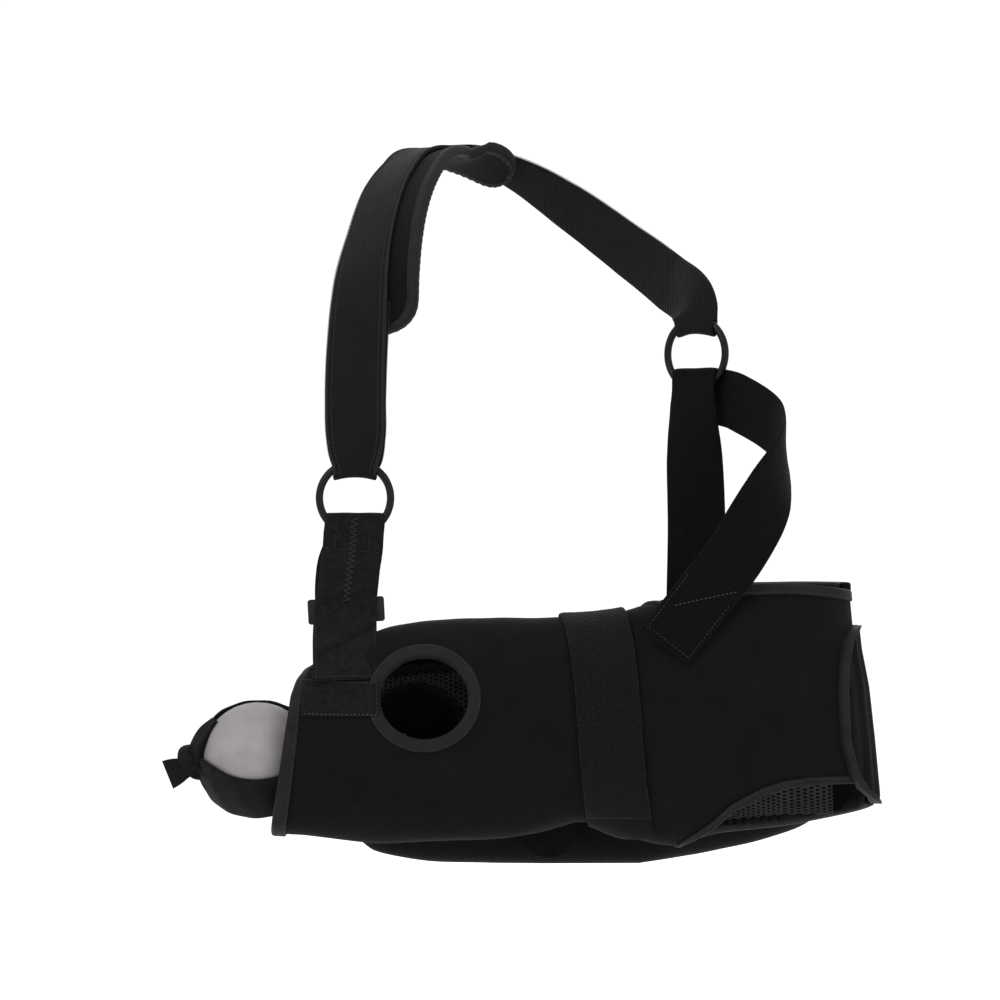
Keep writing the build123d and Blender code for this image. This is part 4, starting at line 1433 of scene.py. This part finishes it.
def make_knot():
    """The knot's three turns, its loose tail and the tether into the pouch."""
    x, y, z = KNOT
    over = [
        ((x + 16.5, y - 4, z + 24), (-0.75, -0.35, 0.6), 9.0),
        ((x + 9, y - 6, z + 15.5), (-0.75, -0.6, 0.35), 13.0),
        ((x + 3.2, y - 8, z + 4), (-0.8, -0.6, 0.1), 13.0),
        ((x + 3.2, y - 7, z - 7), (-0.7, -0.7, -0.2), 11.0),
        ((x + 7, y - 2, z - 13), (-0.2, -0.4, -0.9), 11.0),
    ]
    cross = [
        ((x + 8, y - 3, z - 12), (-0.2, -0.9, -0.5), 12.0),
        ((x + 2, y - 9, z - 9), (-0.1, -1, -0.1), 11.0),
        ((x - 4, y - 9, z - 3), (-0.5, -0.9, 0.1), 10.0),
        ((x - 4, y - 4, z + 4), (-0.5, -0.4, 0.8), 10.0),
        ((x + 3, y + 3, z + 6), (0.1, 0.3, 1), 10.0),
    ]
    wrap = [
        ((x + 3, y - 8, z + 1), (-0.3, -1, 0.2), 9.0),
        ((x - 5, y - 7, z - 1), (-0.9, -0.5, 0), 10.0),
        ((x - 7, y + 1, z - 4), (-1, 0.1, 0), 10.0),
        ((x - 3, y + 7, z - 6), (-0.4, 0.9, 0), 10.0),
        ((x + 5, y + 7, z - 6), (0.4, 0.9, 0), 10.0),
    ]
    first = bundle("ball_knot_over", over, "webbing", "ball_strap", 5.0)
    bundle("ball_knot_cross", cross, "webbing", "ball_strap", 4.6)
    bundle("ball_knot_wrap", wrap, "webbing", "ball_strap", 4.4)
    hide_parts("ball_knot")
    tail = [
        ((x + 1, y - 5, z - 6), (-0.2, -1, 0.1), 10.0),
        ((x - 5, y - 8, z - 8), (-0.1, -1, 0.2), 15.0),
        ((x - 10, y - 9, z - 10), (0.1, -1, 0.25), 18.5),
        ((x - 16, y - 9, z - 12.5), (0.2, -1, 0.2), 20.5),
    ]
    piece = bundle("ball_strap_loose_tail", tail, "webbing", "ball_strap", 2.2)
    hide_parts("ball_strap_tail")
    start = np.array(BALL) + np.array([BALL_RADIUS + 1.2, 2.0, 1.0])
    lead = [
        (tuple(start), (-0.7, 0.7, 0), 22.0),
        ((28.0, 58.0, 56.4), (-0.7, 0.7, 0), 22.0),
        ((37.0, 67.0, 57.2), (-0.6, 0.8, 0), 22.0),
        ((46.0, 74.0, 58.0), (-0.5, 0.85, 0), 23.0),
    ]
    sections, _ = ribbon_sections(lead, 2.4)
    verts, faces = tube(sections)
    tether = add_mesh("ball_tether_webbing", verts, faces, "webbing", None)
    fix_normals(tether)
    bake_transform(tether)
    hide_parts("ball_tether")


def make_tether_anchor():
    xs = np.broadcast_to(np.linspace(44.0, 72.0, 18)[None, :], (16, 18))
    zs = np.broadcast_to(np.linspace(46.0, 70.0, 16)[:, None], (16, 18))
    angles = height_angle(xs, zs)
    runs = back_run(xs)
    outer = skin(runs, angles, -FABRIC - LINING - 0.1)
    inner = skin(runs, angles, -FABRIC - LINING - 2.2)
    verts, faces = shell(outer, inner)
    piece = add_mesh("tether_anchor_webbing", verts, faces, "webbing", "sling")
    fix_normals(piece)
    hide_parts("tether_anchor")


# ---------------------------------------------------------------- decorative stitching
def make_front_seams():
    """The front strap's zigzag, its bar seams near the ring and its hem over the patch."""
    upper = turned_round(FRONT_RING, (0, -1, 0), -9.9, 40.6)[3:]
    centres, along, side, out, half = ribbon_frames(upper + FRONT_STRAP, 0.8)
    seam = resample(np.hstack([centres, side, out]), 1.8)
    seam = seam[(seam[:, 2] < 221.0) & (seam[:, 2] > 163.0)]
    sway = np.where(np.arange(len(seam)) % 2, 2.6, -2.6)[:, None]
    zigzag = [(seam[:, :3] + seam[:, 3:6] * sway + seam[:, 6:9] * 1.4, seam[:, 6:9])]
    groups = []
    for points, normals in zigzag:
        steps = np.diff(points, axis=0)
        groups.append(((points[:-1] + points[1:]) / 2, normalise(steps), normalise(normals[:-1])))
    verts, faces = stitch_mesh(groups, length=5.3, radius=0.42)
    add_mesh("front_strap_zigzag", verts, faces, "thread", "sling")

    near_ring = (centres[:, 2] < 216) & (centres[:, 2] > 199)
    lines = []
    for sway in (-10.8, 12.0):
        lines.append(((centres + side * sway + out * 1.4)[near_ring], out[near_ring]))
    for height, reach in ((198.0, 18.5), (112.8, 20.5)):
        at = np.argmin(abs(centres[:, 2] - height))
        across = np.linspace(-reach, reach, 24)[:, None] * side[at]
        lines.append((centres[at] + across + out[at] * 1.45, np.tile(out[at], (24, 1))))
    low = centres[:, 2] < 146
    for sway in (-20.0, 19.6):
        lines.append(((centres + side * sway + out * 1.4)[low], out[low]))
    sew("front_strap_seams", lines, "sling", 2.4, 1.8)


def make_rear_seams():
    """The sewn foot of the rear leg on the pouch's outer face."""
    lines = []
    centres, along, side, out, half = ribbon_frames(REAR_OUTER, 1.6)
    for sway in (-17.2, 17.2):
        keep = slice(2, 32)
        lines.append(((centres + side * sway + out * 1.35)[keep], out[keep]))
    across = np.linspace(-17, 17, 20)[:, None] * side[3]
    lines.append((centres[3] + across + out[3] * 1.35, np.tile(out[3], (20, 1))))
    sew("rear_leg_seams", lines, "sling", 2.7, 1.9)
    x = np.linspace(266.5, 309.0, 30)
    z = np.interp(x, TOP_EDGE[:, 0], TOP_EDGE[:, 1]) - 2.5
    lines = [(np.stack([x, np.full(30, -2.5), z], 1), np.tile([0.0, -1.0, 0.0], (30, 1)))]
    sew("rear_leg_cross_seam", lines, "sling", 2.7, 1.9, 0.4, "worn_thread")


# ---------------------------------------------------------------- build
make_camera()
make_studio()
MATERIALS = make_materials()

make_outer_panel()
make_inner_panel()
make_lining_base("outer_lining", "outer_mesh_lining", True)
make_lining_base("inner_lining", "inner_mesh_lining", False)
make_lining("outer_lining", True)
make_lining("inner_lining", False)
make_pouch_bindings()
hole_tape("outer_hole_tape", "outer_hole_binding", HAND_HOLE, True)
hole_tape("inner_hole_tape", "inner_hole_binding", BODY_HOLE, False)
make_closure_band()
make_anchor_patch()
make_elbow_flap()
make_band_end_tab()
make_pillow()
make_straps()
make_shoulder_pad()
make_ring("front_ring_coated", "front_ring", FRONT_RING, (0, -1, 0))
make_ring("rear_ring_coated", "rear_ring", REAR_RING, (0.6, 0.8, 0))
finish_buckle()
make_ball()
make_ball_strap()
make_knot()
make_tether_anchor()
make_front_seams()
make_rear_seams()
